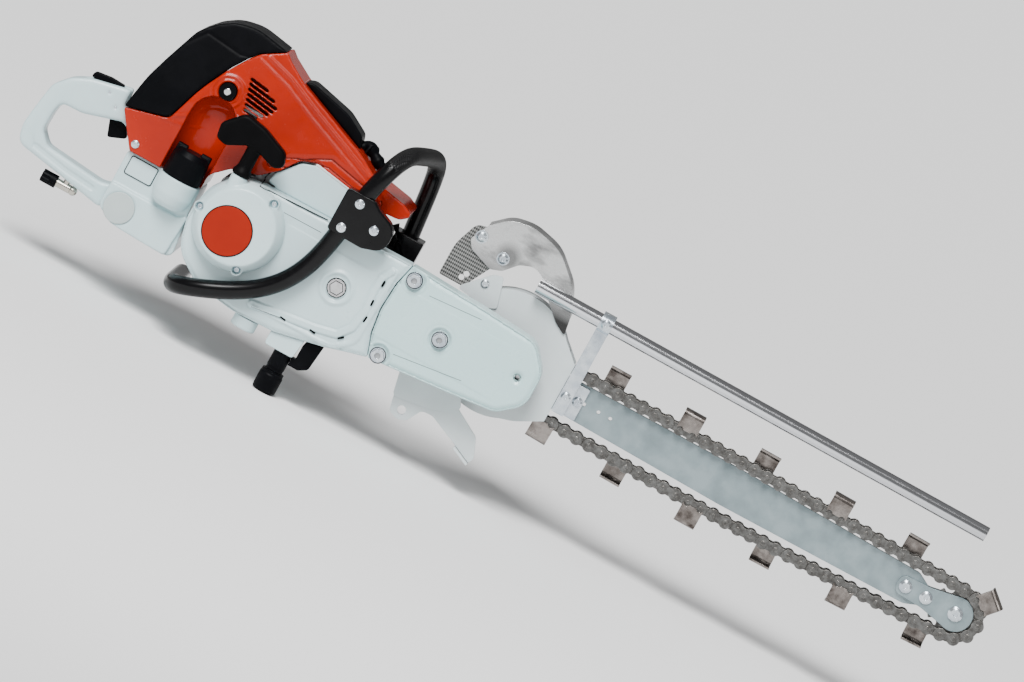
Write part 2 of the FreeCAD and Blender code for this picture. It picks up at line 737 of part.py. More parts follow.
# ================= cutting arm and belt drive =================

SEAM_LINE = [(-168.0, 66.0), (-176.0, 34.0), (-178.5, -5.0), (-174.0, -39.0), (-163.0, -71.0)]


def build_arm():
    """Cast arm plate with the spindle hub and the studs for the belt guard."""
    plate = prism_y([(CRANK_X - 40, -ARM_HALF, 30), (CRANK_X - 40, ARM_HALF, 30), (-170, 61, 60),
                     (-60, 60, 60), (44, ARM_HALF, ARM_HALF), (44, -ARM_HALF, ARM_HALF), (-90, -60, 60),
                     (-160, -66, 60)], ARM_OUT, ARM_Y)
    hub = disc_y(0, 0, HUB_R, ARM_OUT, -CASE_SIDE_Y - GAP)
    rib = box(-150, -20, ARM_Y, ARM_Y + 10.0, 24, 32)
    studs = [disc_y(x, z, STUD_R, GUARD_Y - 5.0, ARM_OUT) for x, z in GUARD_NUTS]
    bosses = [disc_y(x, z, 6.0, GUARD_Y + COVER_WALL + 2.5, ARM_OUT) for x, z in GUARD_NUTS]
    arm = joined([plate, hub, rib] + studs + bosses)
    tools = [disc_y(0, 0, BEARING_R + FIT, ARM_OUT, ARM_OUT + BEARING_W + 0.5),
             disc_y(0, 0, BEARING_R + FIT, -CASE_SIDE_Y - GAP - BEARING_W - 0.5, -CASE_SIDE_Y),
             disc_y(0, 0, 16.0, ARM_OUT, 0),
             disc_y(CRANK_X, 0, 24.0, ARM_OUT - 1, ARM_Y + 1),
             disc_y(TENSIONER_X, TENSIONER_Z, 6.0 + FIT, ARM_OUT - 1, ARM_Y + 1)]
    tools += [disc_y(x, -47.0, 3.0 + FIT, ARM_OUT - 1, ARM_Y + 1) for x in (-110.0, -56.0)]
    nodes["cutting_arm"] = cut_all(arm, tools)
    nodes["spindle_bearings"] = Part.makeCompound(
        [ring_y(0, 0, BEARING_R, SPINDLE_R + FIT, y, y + BEARING_W)
         for y in (ARM_OUT + 0.2, -CASE_SIDE_Y - GAP - BEARING_W - 0.2)])


def belt_way():
    """Room for the belt where it crosses the joint between housing and guard."""
    return box(-204, -140, GUARD_Y + CAST_WALL + 1.0, ARM_OUT, -44, 44)


def guard_outline(shrink):
    """Side view of the belt guard, round about the spindle at its front."""
    rear = [(x + SEAM / 2.0 + shrink, z, 30) for x, z in SEAM_LINE[1:-1]]
    radius = GUARD_R - shrink
    top_left = (SEAM_LINE[0][0] + SEAM / 2.0 + shrink, SEAM_LINE[0][1] - shrink, 2)
    low_left = (SEAM_LINE[-1][0] + SEAM / 2.0 + shrink, SEAM_LINE[-1][1] + shrink, 2)
    return [low_left] + rear[::-1] + [top_left, (-60, 61.5 - shrink, 200),
                                      (24, 56.0 - shrink, radius * 0.55),
                                      (radius - 1, 22, radius * 0.6), (radius - 1, -26, radius * 0.6),
                                      (20, -53.0 + shrink, radius * 0.55), (-60, -61.5 + shrink, 200)]


def build_guard():
    """Removable belt guard with dished seats for its three nuts."""
    back = ARM_OUT - GAP
    outer = prism_y(guard_outline(0.0), GUARD_Y, back)
    outer = soften(outer, 4.0, on_plane_y(GUARD_Y))
    inner = prism_y(guard_outline(COVER_WALL), GUARD_Y + COVER_WALL, back)
    tools = [inner, belt_way()]
    for x, z in GUARD_NUTS:
        tools.append(disc_y(x, z, STUD_R + GAP, GUARD_Y - 1, GUARD_Y + COVER_WALL + 1))
        tools.append(spun_y(x, z, [(0, GUARD_Y - 1), (22.0, GUARD_Y - 1), (22.0, GUARD_Y),
                                   (15.0, GUARD_Y + 1.6),
                                   (0, GUARD_Y + 1.6)]))
    tools.append(disc_y(24.0, 2.6, 3.5, GUARD_Y - 1, GUARD_Y + COVER_WALL + 1))
    nodes["belt_guard"] = cut_all(outer, tools)
    nuts = []
    for x, z in GUARD_NUTS:
        seat = GUARD_Y + 1.6 - GAP
        nut = joined([disc_y(x, z, NUT_FLANGE_R, seat - 2.0, seat),
                      hexagon_y(x, z, 16.0, seat - 9.0, seat - 2.0)])
        nuts.append(nut.cut(disc_y(x, z, STUD_R + FIT, seat - 10, seat + 1)))
    nodes["guard_nuts"] = Part.makeCompound(nuts)


def housing_outline(shrink):
    """Side view of the belt housing between the engine and the guard."""
    seam = [(x - SEAM / 2.0 - shrink, z, 30) for x, z in SEAM_LINE[1:-1]]
    return [(SEAM_LINE[0][0] - SEAM / 2.0 - shrink, SEAM_LINE[0][1] - shrink, 2)] + seam + [
        (SEAM_LINE[-1][0] - SEAM / 2.0 - shrink, SEAM_LINE[-1][1] + shrink, 2),
        (-186, -77 + shrink, 20), (-220, -87 + shrink, 40), (-288, -102 + shrink, 60),
        (-350, -104 + shrink, 60), (-410, -96 + shrink, 40), (-452 + shrink, -66, 50),
        (-463 + shrink, -20, 60), (-456 + shrink, 24, 40), (-430, 56 - shrink, 30), (-392, 63.5 - shrink,
                                                                                     30)]


def build_housing():
    """Belt housing: a cast cover with a raised rim, a starter opening and the tensioner boss."""
    back = ARM_OUT - GAP
    outer = prism_y(housing_outline(0.0), GUARD_Y, back)
    outer = soften(outer, 4.0, on_plane_y(GUARD_Y))
    inner = prism_y(housing_outline(CAST_WALL), GUARD_Y + CAST_WALL, back)
    rim = prism_y([(-187, 50, 8), (-190, -60, 18), (-214, -80, 12), (-330, -83, 10), (-330, -86, 4),
                   (-210, -84, 16), (-184, -62, 20), (-181, 50, 8)], GUARD_Y - 2.0, GUARD_Y + 1.0)
    boss = disc_y(TENSIONER_X, TENSIONER_Z, 24.0, GUARD_Y - 1.5, GUARD_Y + 1.0)
    post = disc_y(-330.0, 50.0, 6.0, GUARD_Y + 1.0, back)
    shell = joined([outer.cut(inner), rim, boss, post])
    tools = [belt_way(), disc_y(CRANK_X, 0, DOME_FACE_R - 4.0, GUARD_Y - 3, GUARD_Y + CAST_WALL + 1),
             disc_y(TENSIONER_X, TENSIONER_Z, 13.5, GUARD_Y - 3, GUARD_Y + 1.5),
             disc_y(TENSIONER_X, TENSIONER_Z, 10.0 + GAP, GUARD_Y, GUARD_Y + CAST_WALL + 1)]
    nodes["belt_housing"] = cut_all(shell, tools)
    nodes["belt_tensioner"] = joined([hexagon_y(TENSIONER_X, TENSIONER_Z, 22.0, GUARD_Y - 3.0,
                                                GUARD_Y - 0.5),
                                      disc_y(TENSIONER_X, TENSIONER_Z, 13.0, GUARD_Y - 0.5, GUARD_Y + 1.0),
                                      disc_y(TENSIONER_X, TENSIONER_Z, 10.0, GUARD_Y + 1.0, GUARD_Y + 8.0),
                                      disc_y(TENSIONER_X, TENSIONER_Z, 6.0, GUARD_Y + 8.0, ARM_Y - 0.5)])
    foot_x = -328.5
    foot_y = 0.5 * (GUARD_Y + ARM_OUT)
    nodes["support_foot"] = soften(rod((foot_x, foot_y, -120.0), (foot_x, foot_y, -104.0 - GAP), 17.5), 2.5,
                                   lambda e: abs(e.BoundBox.ZMax + 120.0) < 0.1)


def tangent_loop(grow, y0, y1):
    """Closed belt shape round both pulleys, `grow` outside the pitch line."""
    small = CLUTCH_PULLEY_R + grow
    big = DRIVEN_PULLEY_R + grow
    lean = math.asin((DRIVEN_PULLEY_R - CLUTCH_PULLEY_R) / ARM_LENGTH)
    sin = math.sin(lean)
    cos = math.cos(lean)
    points = [V(CRANK_X - small * sin, y0, small * cos), V(-big * sin, y0, big * cos),
              V(big, y0, 0), V(-big * sin, y0, -big * cos), V(CRANK_X - small * sin, y0, -small * cos),
              V(CRANK_X - small, y0, 0)]
    wire = Part.Wire([Part.makeLine(points[0], points[1]), Part.Arc(points[1], points[2],
                                                                    points[3]).toShape(),
                      Part.makeLine(points[3], points[4]), Part.Arc(points[4], points[5],
                                                                    points[0]).toShape()])
    return Part.Face(wire).extrude(V(0, y1 - y0, 0))


def pulley(x, radius, bore, flange):
    """V-belt pulley; the groove leaves room for the belt."""
    half = BELT_W / 2.0
    root = radius - BELT_H / 2.0 - GAP
    rim = radius + BELT_H / 2.0 + 2.0
    return spun_y(x, 0, [(bore, BELT_Y - half - flange), (rim, BELT_Y - half - flange),
                         (rim, BELT_Y - half - 1.6), (root, BELT_Y - half - GAP),
                         (root, BELT_Y + half + GAP), (rim, BELT_Y + half + 1.6),
                         (rim, BELT_Y + half + flange), (bore, BELT_Y + half + flange)])


def build_belt_drive():
    """V-belt, its two pulleys, the clutch and the spindle."""
    half = BELT_W / 2.0
    belt = tangent_loop(BELT_H / 2.0, BELT_Y - half, BELT_Y + half)
    nodes["v_belt"] = belt.cut(tangent_loop(-BELT_H / 2.0, BELT_Y - half, BELT_Y + half))
    nodes["driven_pulley"] = pulley(0.0, DRIVEN_PULLEY_R, SPINDLE_R + FIT, 3.5)
    front = pulley(CRANK_X, CLUTCH_PULLEY_R, 8.0 + FIT, 3.5)
    cup_back = ARM_OUT - 0.8
    cup_front = BELT_Y + half + 3.5
    drum = spun_y(CRANK_X, 0, [(8.0 + FIT, cup_front), (36.0, cup_front), (36.0, cup_back),
                               (33.5, cup_back),
                               (33.5, cup_front + 2.2), (8.0 + FIT, cup_front + 2.2)])
    nodes["clutch_drum"] = joined([front, drum])
    hub_y0 = cup_front + 2.2 + GAP
    nodes["clutch_hub"] = spun_y(CRANK_X, 0, [(8.0 + FIT, hub_y0), (32.8, hub_y0), (32.8, cup_back),
                                              (8.0 + FIT, cup_back)])
    spindle = disc_y(0, 0, SPINDLE_R, GUARD_Y + COVER_WALL + 6.0, CASE_SIDE_Y - 2.0)
    nut = hexagon_y(0, 0, 30.0, GUARD_Y + COVER_WALL + 4.0, BELT_Y - half - 3.5 - GAP)
    spacer = disc_y(0, 0, 15.0, BELT_Y + half + 3.5 + GAP, ARM_OUT - GAP)
    nodes["spindle"] = joined([spindle, nut, spacer])
    clamp = hexagon_y(0, 0, 30.0, SPROCKET_T / 2.0 + GAP + 2.0, CASE_SIDE_Y - 7.0)
    washer = disc_y(0, 0, 18.0, SPROCKET_T / 2.0 + GAP, SPROCKET_T / 2.0 + GAP + 2.0)
    nodes["arbor_nut"] = joined([clamp, washer]).cut(disc_y(0, 0, SPINDLE_R + FIT, 0, 40))


# ================= engine =================

def build_engine():
    """Crankcase, finned cylinder, piston, crankshaft and what hangs on them."""
    case = prism_y([(CRANK_X - 52, -58, 12), (CRANK_X - 52, CASE_TOP, 8), (CRANK_X + 56, CASE_TOP, 8),
                    (CRANK_X + 70, -20, 20), (CRANK_X + 56, -58, 12)], -CASE_HALF_Y, CASE_HALF_Y)
    chamber = disc_y(CRANK_X, 0, 38.0, -20.0, 20.0)
    seat = 17.5
    seats = disc_y(CRANK_X, 0, seat + FIT, -CASE_HALF_Y, CASE_HALF_Y)
    opening = rod((CRANK_X, 0, 10), (CRANK_X, 0, CASE_TOP), BORE_R)
    flange = ring_y(CRANK_X, 0, 30.0, 24.5, ARM_Y + GAP, -CASE_HALF_Y)
    feet = [disc_y(CRANK_X + x, z, 7.0, ARM_Y + GAP, -CASE_HALF_Y) for x,
            z in ((-44, -42), (50, -42), (48, 32))]
    case = joined([case, flange] + feet)
    nodes["crankcase"] = cut_all(case, [chamber, seats, opening])
    bearing_w = 12.0
    bearings = [ring_y(CRANK_X, 0, seat, 8.0 + FIT, y, y + bearing_w) for y in (-CASE_HALF_Y + 0.5,
                                                                                CASE_HALF_Y - 12.5)]
    nodes["crank_bearings"] = Part.makeCompound(bearings)

    base = CASE_TOP + GAP
    barrel = rod((CRANK_X, 0, base), (CRANK_X, 0, CYLINDER_TOP), BORE_R + 6.0)
    fin_gap = 9.0
    count = int((CYLINDER_TOP - base - 14.0) / fin_gap)
    wide = CASE_HALF_Y
    fins = [prism_z([(CRANK_X - FIN_HALF, -wide, 8), (CRANK_X + FIN_HALF, -wide, 8),
                     (CRANK_X + FIN_HALF, wide, 8),
                     (CRANK_X - FIN_HALF, wide, 8)], base + 14.0 + i * fin_gap, base + 17.0 + i * fin_gap)
            for i in range(count)]
    flange = box(CRANK_X - 36, CRANK_X + 36, -33, 33, base, base + 7.0)
    passage = box(CAP_X - 9.0, CRANK_X - 20, -34.0, -22.0, 132.0, CYLINDER_TOP)
    valve_boss = disc_y(CAP_X, VALVE_Z, 9.0, -36.0, -22.0)
    port = rod((CRANK_X - FIN_HALF - 4.0, 0, PORT_Z), (CRANK_X - BORE_R - 2.0, 0, PORT_Z), PORT_R)
    cylinder = joined([barrel, flange, passage, valve_boss, port] + fins)
    bore = rod((CRANK_X, 0, base), (CRANK_X, 0, CYLINDER_TOP - 10.0), BORE_R)
    plug_hole = rod((CRANK_X, 0, CYLINDER_TOP - 12), (CRANK_X, 0, CYLINDER_TOP), 7.0 + FIT)
    inlet = rod((CRANK_X - FIN_HALF - 5.0, 0, PORT_Z), (CRANK_X, 0, PORT_Z), PORT_R - 5.0)
    nodes["cylinder"] = cut_all(cylinder, [bore, plug_hole, inlet])

    piston = rod((CRANK_X, 0, 64), (CRANK_X, 0, 100), BORE_R - FIT)
    piston = piston.cut(rod((CRANK_X, 0, 64), (CRANK_X, 0, 95), BORE_R - 4.0))
    pin = rod((CRANK_X, -BORE_R + 3.0, 80), (CRANK_X, BORE_R - 3.0, 80), 6.0)
    nodes["piston"] = joined([piston, pin])

    shaft = disc_y(CRANK_X, 0, 8.0, GUARD_Y + 10.0, FAN_Y + 24.0)
    web_l = disc_y(CRANK_X, 0, 34.0, 8.0, 18.0)
    web_r = disc_y(CRANK_X, 0, 34.0, -18.0, -8.0)
    throw = disc_y(CRANK_X, 20.0, 7.0, -8.0, 8.0)
    middle = disc_y(CRANK_X, 0, 9.0, -8.5, 8.5)
    shaft = shaft.cut(middle)
    nodes["crankshaft"] = joined([shaft, web_l, web_r, throw])

    blades = []
    for i in range(16):
        blade = box(CRANK_X + 30.0, CRANK_X + FLYWHEEL_R - 1.0, FAN_Y + 8.0, FAN_Y + 22.0, -1.2, 1.2)
        blade.rotate(V(CRANK_X, 0, 0), V(0, 1, 0), i * 22.5)
        blades.append(blade)
    wheel = spun_y(CRANK_X, 0, [(8.0 + FIT, FAN_Y), (FLYWHEEL_R, FAN_Y), (FLYWHEEL_R, FAN_Y + 8.0),
                                (14.0, FAN_Y + 8.0), (14.0, FAN_Y + 20.0), (8.0 + FIT, FAN_Y + 20.0)])
    nodes["flywheel_fan"] = joined([wheel] + blades)

    plug = spun_z(CRANK_X, 0, [(0, CYLINDER_TOP - 12), (7.0, CYLINDER_TOP - 12), (7.0, CYLINDER_TOP),
                               (10.5, CYLINDER_TOP), (10.5, CYLINDER_TOP + 8), (6.0, CYLINDER_TOP + 9),
                               (6.0, CYLINDER_TOP + 22), (0, CYLINDER_TOP + 22)])
    plug.translate(V(0, 0, 0.2))
    nodes["spark_plug"] = plug
    boot_z = CYLINDER_TOP + 9.5
    boot = spun_z(CRANK_X, 0, [(6.3, boot_z), (10.0, boot_z), (10.0, boot_z + 17), (0, boot_z + 17),
                               (0, boot_z + 13.2),
                               (6.3, boot_z + 13.2)])
    nodes["plug_boot"] = boot

    muffler = prism_y([(-326, 8, 10), (-326, 100, 10), (-262, 96, 16), (-232, 60, 16), (-232, 8, 10)],
                      -36.0, MUFFLER_Y)
    muffler = soften(muffler, 6.0, on_plane_y(MUFFLER_Y))
    hollow = prism_y([(-324, 10, 8), (-324, 98, 8), (-263, 94, 14), (-234, 59, 14), (-234, 10, 8)], -34.0,
                     MUFFLER_Y - 2.0)
    outlet = ring_y(-250.0, 24.0, 9.0, 6.5, MUFFLER_Y - 1.0, MUFFLER_Y + 10.0)
    nodes["silencer"] = joined([muffler.cut(hollow), outlet])

    flange_x = CRANK_X - FIN_HALF - 4.0
    carb = joined([box(flange_x - 50.0, flange_x - GAP, -22, 22, PORT_Z - 22, PORT_Z + 22),
                   rod((PORT_END, 0, PORT_Z), (flange_x - GAP, 0, PORT_Z), PORT_R)])
    nodes["carburettor"] = carb.cut(rod((PORT_END - 1, 0, PORT_Z), (flange_x, 0, PORT_Z), PORT_R - 5.0))
    element = inset_y(filter_outline(), COVER_WALL + 3.0, -30.0, 30.0)
    nodes["air_filter"] = element.common(box(-620, PORT_END - GAP, -40, 40, 84, 240))


# ================= covers =================

def hood_section(shrink, x0, x1):
    """Front view of the hood: upright sides that lean in towards a narrower top."""
    base = SHROUD_HALF_Y - shrink
    top = SHROUD_TOP_HALF_Y - shrink
    return prism_x([(-base, -20, 0), (-base, 112, 60), (-top, 246 - shrink, 16), (top, 246 - shrink, 16),
                    (base, 112, 60), (base, -20, 0)], x0, x1)


FILTER_FRONT = [(-548, 77, 12), (-530, 131, 200), (-511, 169, 100), (-492, 198, 60), (-482, 210, 20),
                (-451, 229, 1)]


def filter_outline():
    """Side view of the filter cover at the back of the hood."""
    back = [(-499, 237, 60), (-530, 231, 60), (-552, 216, 40), (-570, 196, 40), (-588, 146, 300),
            (-599, 112, 200), (-608, 62, 2)]
    return [(x, z, r) for x, z, r in FILTER_FRONT] + back


def shroud_outline():
    """Side view of the hood in front of the filter cover."""
    rear = [(x + SEAM, z - SEAM * 0.3, r) for x, z, r in FILTER_FRONT]
    front = [(-440, 220, 10), (-409, 202, 60), (-300, 158, 60), (-262, 136, 50), (-218, 128, 16),
             (-200, 119, 8), (-214, 107, 12), (-246, 104, 30), (-345, 120, 20), (-366, 113, 20),
             (-384, 88, 30), (-406, 68, 20), (-440, 60, 20), (-466, 36, 20), (-466, 13.5, 2), (-573, 13.5, 2), (-607, 61, 2)]
    return rear + front


def vent_slot(x0, x1, z):
    """Cutter for one hot-air slot, which slopes down towards the front."""
    slot = box(0, x1 - x0, -70, -38, -VENT_HALF, VENT_HALF)
    slot.rotate(V(0, 0, 0), V(0, 1, 0), VENT_SLOPE)
    slot.translate(V(x0, 0, z))
    return slot


def build_shroud():
    """Hood over cylinder and carburettor, scooped out beside the fuel cap and slotted for hot air."""
    scoop_top = 104.0
    scoop_r = CAP_R + 4.0
    outer = prism_y(shroud_outline(), -80, 80).common(hood_section(0.0, -620, -190))
    inner = inset_y(shroud_outline(), COVER_WALL, -80, 80).common(hood_section(COVER_WALL, -620, -190))

    def scoop(grow):
        """Room for the fuel cap, domed at its top."""
        r = scoop_r + grow
        dome = [(r * math.cos(a), scoop_top + r * math.sin(a)) for a in (0.0, 0.35, 0.7, 1.05, 1.3)]
        return spun_z(CAP_X, CAP_Y, [(0, -10), (r, -10)] + dome + [(0, scoop_top + r)])

    floor = inner.copy()
    floor.translate(V(0, 0, -2.0 * COVER_WALL))
    floor = floor.common(box(-566, -190, -80, 80, -20, 250)).cut(scoop(COVER_WALL))
    inner = inner.cut(scoop(COVER_WALL))
    slots = [vent_slot(*ends, VENT_Z + i * VENT_PITCH) for i, ends in enumerate(VENT_ENDS)]
    mid = 0.5 * (SHROUD_HALF_Y + SHROUD_TOP_HALF_Y)
    ring = ring_y(CAP_X, VALVE_Z, 16.0, 13.5, -mid - 10.0, -mid)
    intake = rod((-580, 0, PORT_Z), (-500, 0, PORT_Z), PORT_R + 1.0)
    tools = [inner, scoop(0.0), floor, intake] + slots
    tools += [disc_y(CAP_X, VALVE_Z, 12.3, -70, -40), disc_y(-570.0, 25.0, 3.0 + FIT, -70, -50)]
    shell = cut_all(joined([outer, ring.common(hood_section(-1.6, -620, -190))]), tools)
    nodes["shroud"] = largest(shell)
    nodes["shroud_screw"] = socket_screw(-570.0, 25.0, 5.5, -SHROUD_HALF_Y - GAP, 8.0)

    cover = prism_y(filter_outline(), -80, 80).common(hood_section(0.4, -620, -440))
    hollow = inset_y(filter_outline(), COVER_WALL, -80, 80).common(hood_section(COVER_WALL + 0.4, -620,
                                                                                -440))
    nodes["filter_cover"] = cut_all(cover, [hollow, rod((-575, 0, PORT_Z), (-500, 0, PORT_Z),
                                                        PORT_R + 1.0)])

    lid = prism_y([(-426, 198, 2), (-402, 208, 16), (-341, 194, 40), (-311, 177, 10), (-302, 146, 2)], -30,
                  30)
    under = prism_y(shroud_outline(), -80, 80)
    lid = lid.cut(under)
    lid.translate(V(0, 0, GAP))
    nodes["plug_cover"] = largest(lid)

    panel = prism_y([(-392, 66, 4), (-388, 82, 12), (-364, 110, 16), (-344, 117, 12), (-282, 108, 4),
                     (-280, 66, 2)],
                    -SHROUD_HALF_Y + 4.0, -SHROUD_HALF_Y + 8.0)
    wall = prism_y([(-380, 60, 2), (-380, 66, 2), (-284, 66, 2), (-284, 60, 2)], -SHROUD_HALF_Y + 4.0,
                   -42.0)
    nodes["side_panel"] = joined([panel, wall]).cut(prism_y(housing_outline(0.0), GUARD_Y, ARM_OUT + 20))

    body_y = -mid - 2.0
    valve = joined([disc_y(CAP_X, VALVE_Z, 8.0, -46.0, -36.0 - GAP),
                    disc_y(CAP_X, VALVE_Z, 11.5, body_y - 8.0, -46.0)])
    nodes["decompression_valve"] = valve.cut(disc_y(CAP_X, VALVE_Z, 5.0 + GAP, body_y - 9.0, -44.0))
    button = disc_y(CAP_X, VALVE_Z, 5.0, body_y - 10.0, -50.0)
    nodes["decompression_button"] = soften(button, 1.5, lambda e: e.BoundBox.YMax < body_y - 9.0)


def largest(shape):
    """Main body of a cut shape."""
    return max(shape.Solids, key=lambda s: s.Volume)


def build_fan_cover():
    """Left cover over the flywheel fan, with a slotted intake."""
    y0 = CASE_HALF_Y + GAP
    outer = spun_y(CRANK_X, 0, [(0, y0), (FAN_COVER_R, y0), (FAN_COVER_R, FAN_COVER_Y - 18),
                                (FAN_COVER_R - 14, FAN_COVER_Y),
                                (0, FAN_COVER_Y)])
    wall = CAST_WALL
    inner = spun_y(CRANK_X, 0, [(0, y0 + wall), (FAN_COVER_R - wall, y0 + wall),
                                (FAN_COVER_R - wall, FAN_COVER_Y - 19),
                                (FAN_COVER_R - 15 - wall, FAN_COVER_Y - wall), (0, FAN_COVER_Y - wall)])
    slots = []
    for i in range(7):
        z = -30 + i * 10.0
        reach = math.sqrt((FAN_COVER_R - 20.0) ** 2 - z ** 2)
        slots.append(box(CRANK_X - reach, CRANK_X + reach, FAN_COVER_Y - wall - 1, FAN_COVER_Y + 1,
                         z - 2.5, z + 2.5))
    shaft_hole = disc_y(CRANK_X, 0, 12.0, y0 - 1, y0 + wall + 1)
    nodes["fan_cover"] = cut_all(outer, [inner, shaft_hole] + slots)


# ================= starter =================


def build_starter():
    """Recoil starter: domed cover, rope reel, rope, pull grip, badge and screws."""
    base = GUARD_Y - GAP
    wall = COVER_WALL
    outer = spun_y(CRANK_X, 0, [(0, base), (DOME_R, base), (DOME_R, base - 5), (DOME_R - 2.5, base - 14),
                                (DOME_FACE_R + 3, DOME_Y + 3.5), (DOME_FACE_R, DOME_Y), (0, DOME_Y)])
    inner = spun_y(CRANK_X, 0, [(0, base), (DOME_R - wall, base), (DOME_R - wall, base - 5),
                                (DOME_R - 2.5 - wall, base - 14), (DOME_FACE_R - wall + 1, DOME_Y + 3.5),
                                (DOME_FACE_R - wall, DOME_Y + wall), (0, DOME_Y + wall)])
    rope_x = CRANK_X - ROPE_WIND_R
    neck = rod((rope_x, REEL_Y, 24), (rope_x, REEL_Y, GRIP_Z - GAP), 11.4)
    post = disc_y(CRANK_X, 0, 7.0, DOME_Y + 1, REEL_Y + 8.0)
    ears = [disc_y(x, z, EAR_R, base - 18.0, base) for x, z in STARTER_SCREWS]
    wells = [disc_y(x, z, EAR_R - 2.0, base - 30.0, base - 9.0) for x, z in STARTER_SCREWS]
    body = joined([outer, neck])
    rope_hole = rod((rope_x, REEL_Y, 0), (rope_x, REEL_Y, GRIP_Z + 5), ROPE_R + 1.0)
    holes = [disc_y(x, z, 2.5 + FIT, base - 20, base + 1) for x, z in STARTER_SCREWS]
    body = cut_all(body, [inner])
    body = cut_all(joined([body, post] + ears), [rope_hole] + holes + wells)
    nodes["starter_cover"] = largest(body)
    screws = [socket_screw(x, z, 5.0, base - 9.0 - GAP, 9.0) for x, z in STARTER_SCREWS]
    nodes["starter_screws"] = Part.makeCompound(screws)
    nodes["starter_badge"] = disc_y(CRANK_X - 9.0, -10.0, 33.5, DOME_Y - 1.2, DOME_Y - 0.1)

    reel = spun_y(CRANK_X, 0, [(7.0 + FIT, REEL_Y - 6), (REEL_R, REEL_Y - 6), (REEL_R, REEL_Y - 4),
                               (ROPE_WIND_R - 5, REEL_Y - 4),
                               (ROPE_WIND_R - 5, REEL_Y + 4), (REEL_R, REEL_Y + 4), (REEL_R, REEL_Y + 6),
                               (7.0 + FIT, REEL_Y + 6)])
    nodes["starter_reel"] = reel
    coil = ring_y(CRANK_X, 0, ROPE_WIND_R + ROPE_R, ROPE_WIND_R - 4.5, REEL_Y - 3.4, REEL_Y + 3.4)
    lead = rod((rope_x, REEL_Y, 0), (rope_x, REEL_Y, GRIP_Z + 6.0), ROPE_R)
    nodes["starter_rope"] = joined([coil, lead])

    stem = spun_z(rope_x, REEL_Y, [(0, GRIP_Z), (13.0, GRIP_Z), (13.0, GRIP_Z + 5), (9.5, GRIP_Z + 12),
                                   (9.5, GRIP_Z + 50),
                                   (0, GRIP_Z + 50)])
    head = prism_y([(-477, 92, 6), (-480, 112, 8), (-456, 138, 14), (-424, 132, 30), (-386, 116, 12),
                    (-380, 98, 8),
                    (-392, 92, 8), (-416, 100, 12), (-436, 102, 12), (-462, 88,
                                                                      10)], REEL_Y - 12, REEL_Y + 12)
    head = soften(head, 4.0, lambda e: on_plane_y(REEL_Y - 12)(e) or on_plane_y(REEL_Y + 12)(e))
    socket = rod((rope_x, REEL_Y, GRIP_Z - 1), (rope_x, REEL_Y, GRIP_Z + 6.0 + GAP), ROPE_R + GAP)
    nodes["starter_grip"] = joined([stem, head]).cut(socket)


# ================= tank, caps and rear handle =================

def build_tank():
    """Tank housing with the filler neck standing out of its right side."""
    corners = [(TANK_REAR, -70, 10), (TANK_REAR, 13, 4), (TANK_FRONT - 10, 13, 4),
               (TANK_FRONT - 9, -20, 10),
               (TANK_FRONT, -88, 10), (-530, -86, 30), (-552, -84, 20)]
    outer = prism_y(corners, -TANK_HALF_Y, TANK_HALF_Y)
    inner = inset_y(corners, COVER_WALL, -TANK_HALF_Y + COVER_WALL, TANK_HALF_Y - COVER_WALL)
    neck = spun_z(CAP_X, CAP_Y, [(0, -28), (16, -28), (24, -22), (CAP_R + 1, -10), (CAP_R + 1, CAP_Z - GAP),
                                 (0, CAP_Z - GAP)])
    frame = prism_y([(TANK_REAR, -34, 4), (-474, -34, 8), (-462, -24, 6), (-466, -88, 4), (-530, -86, 30),
                     (-552, -84, 20), (TANK_REAR, -70, 10)], -TANK_HALF_Y - 5.0, -TANK_HALF_Y)
    bore = rod((CAP_X, CAP_Y, -20), (CAP_X, CAP_Y, CAP_Z + 10), PLUG_R + 1.0)
    cap_seat = disc_y(-549.0, -61.0, 22.0, -TANK_HALF_Y - 6.0, -TANK_HALF_Y - 2.5)
    body = joined([outer.cut(inner), neck, frame])
    nodes["tank_housing"] = cut_all(body, [bore, cap_seat])
    nodes["mount_cap"] = soften(disc_y(-549.0, -61.0, 21.5, -TANK_HALF_Y - 6.5, -TANK_HALF_Y - 2.8), 1.2,
                                on_plane_y(-TANK_HALF_Y - 6.5))
    nodes["info_plate"] = prism_y([(-567, -17, 3), (-567, 10, 3), (-526, 10, 3), (-526, -17, 3)],
                                  -TANK_HALF_Y - 0.9, -TANK_HALF_Y - 0.2)
    nodes["vibration_mounts"] = Part.makeCompound(
        [rod((TANK_FRONT + GAP, y, -48), (CRANK_X - 52 - GAP, y, -48), 11.0) for y in (-24, 24)])

    cap = spun_z(CAP_X, CAP_Y, [(0, CAP_TOP - 7), (0, CAP_TOP - 4), (CAP_R - 6, CAP_TOP - 4),
                                (CAP_R - 1, CAP_TOP - 12),
                                (CAP_R, CAP_Z + 4), (CAP_R, CAP_Z), (PLUG_R + 0.5, CAP_Z), (PLUG_R + 0.5,
                                                                                            CAP_TOP - 7)])
    ears = []
    for side in (-1, 1):
        ear = prism_x([(-6, CAP_TOP - 16, 2), (-5, CAP_TOP + 1, 3), (5, CAP_TOP + 1, 3),
                       (6, CAP_TOP - 16, 2)], 10, CAP_R - 2)
        ear.rotate(V(0, 0, 0), V(0, 0, 1), 0 if side > 0 else 180)
        ear.translate(V(CAP_X, CAP_Y, 0))
        ears.append(ear)
    inside = rod((CAP_X, CAP_Y, CAP_Z), (CAP_X, CAP_Y, CAP_TOP - 7), PLUG_R + 0.5)
    nodes["fuel_cap"] = joined([cap] + ears).cut(inside)
    nodes["fuel_cap_plug"] = rod((CAP_X, CAP_Y, -12), (CAP_X, CAP_Y, CAP_TOP - 7 - GAP), PLUG_R)


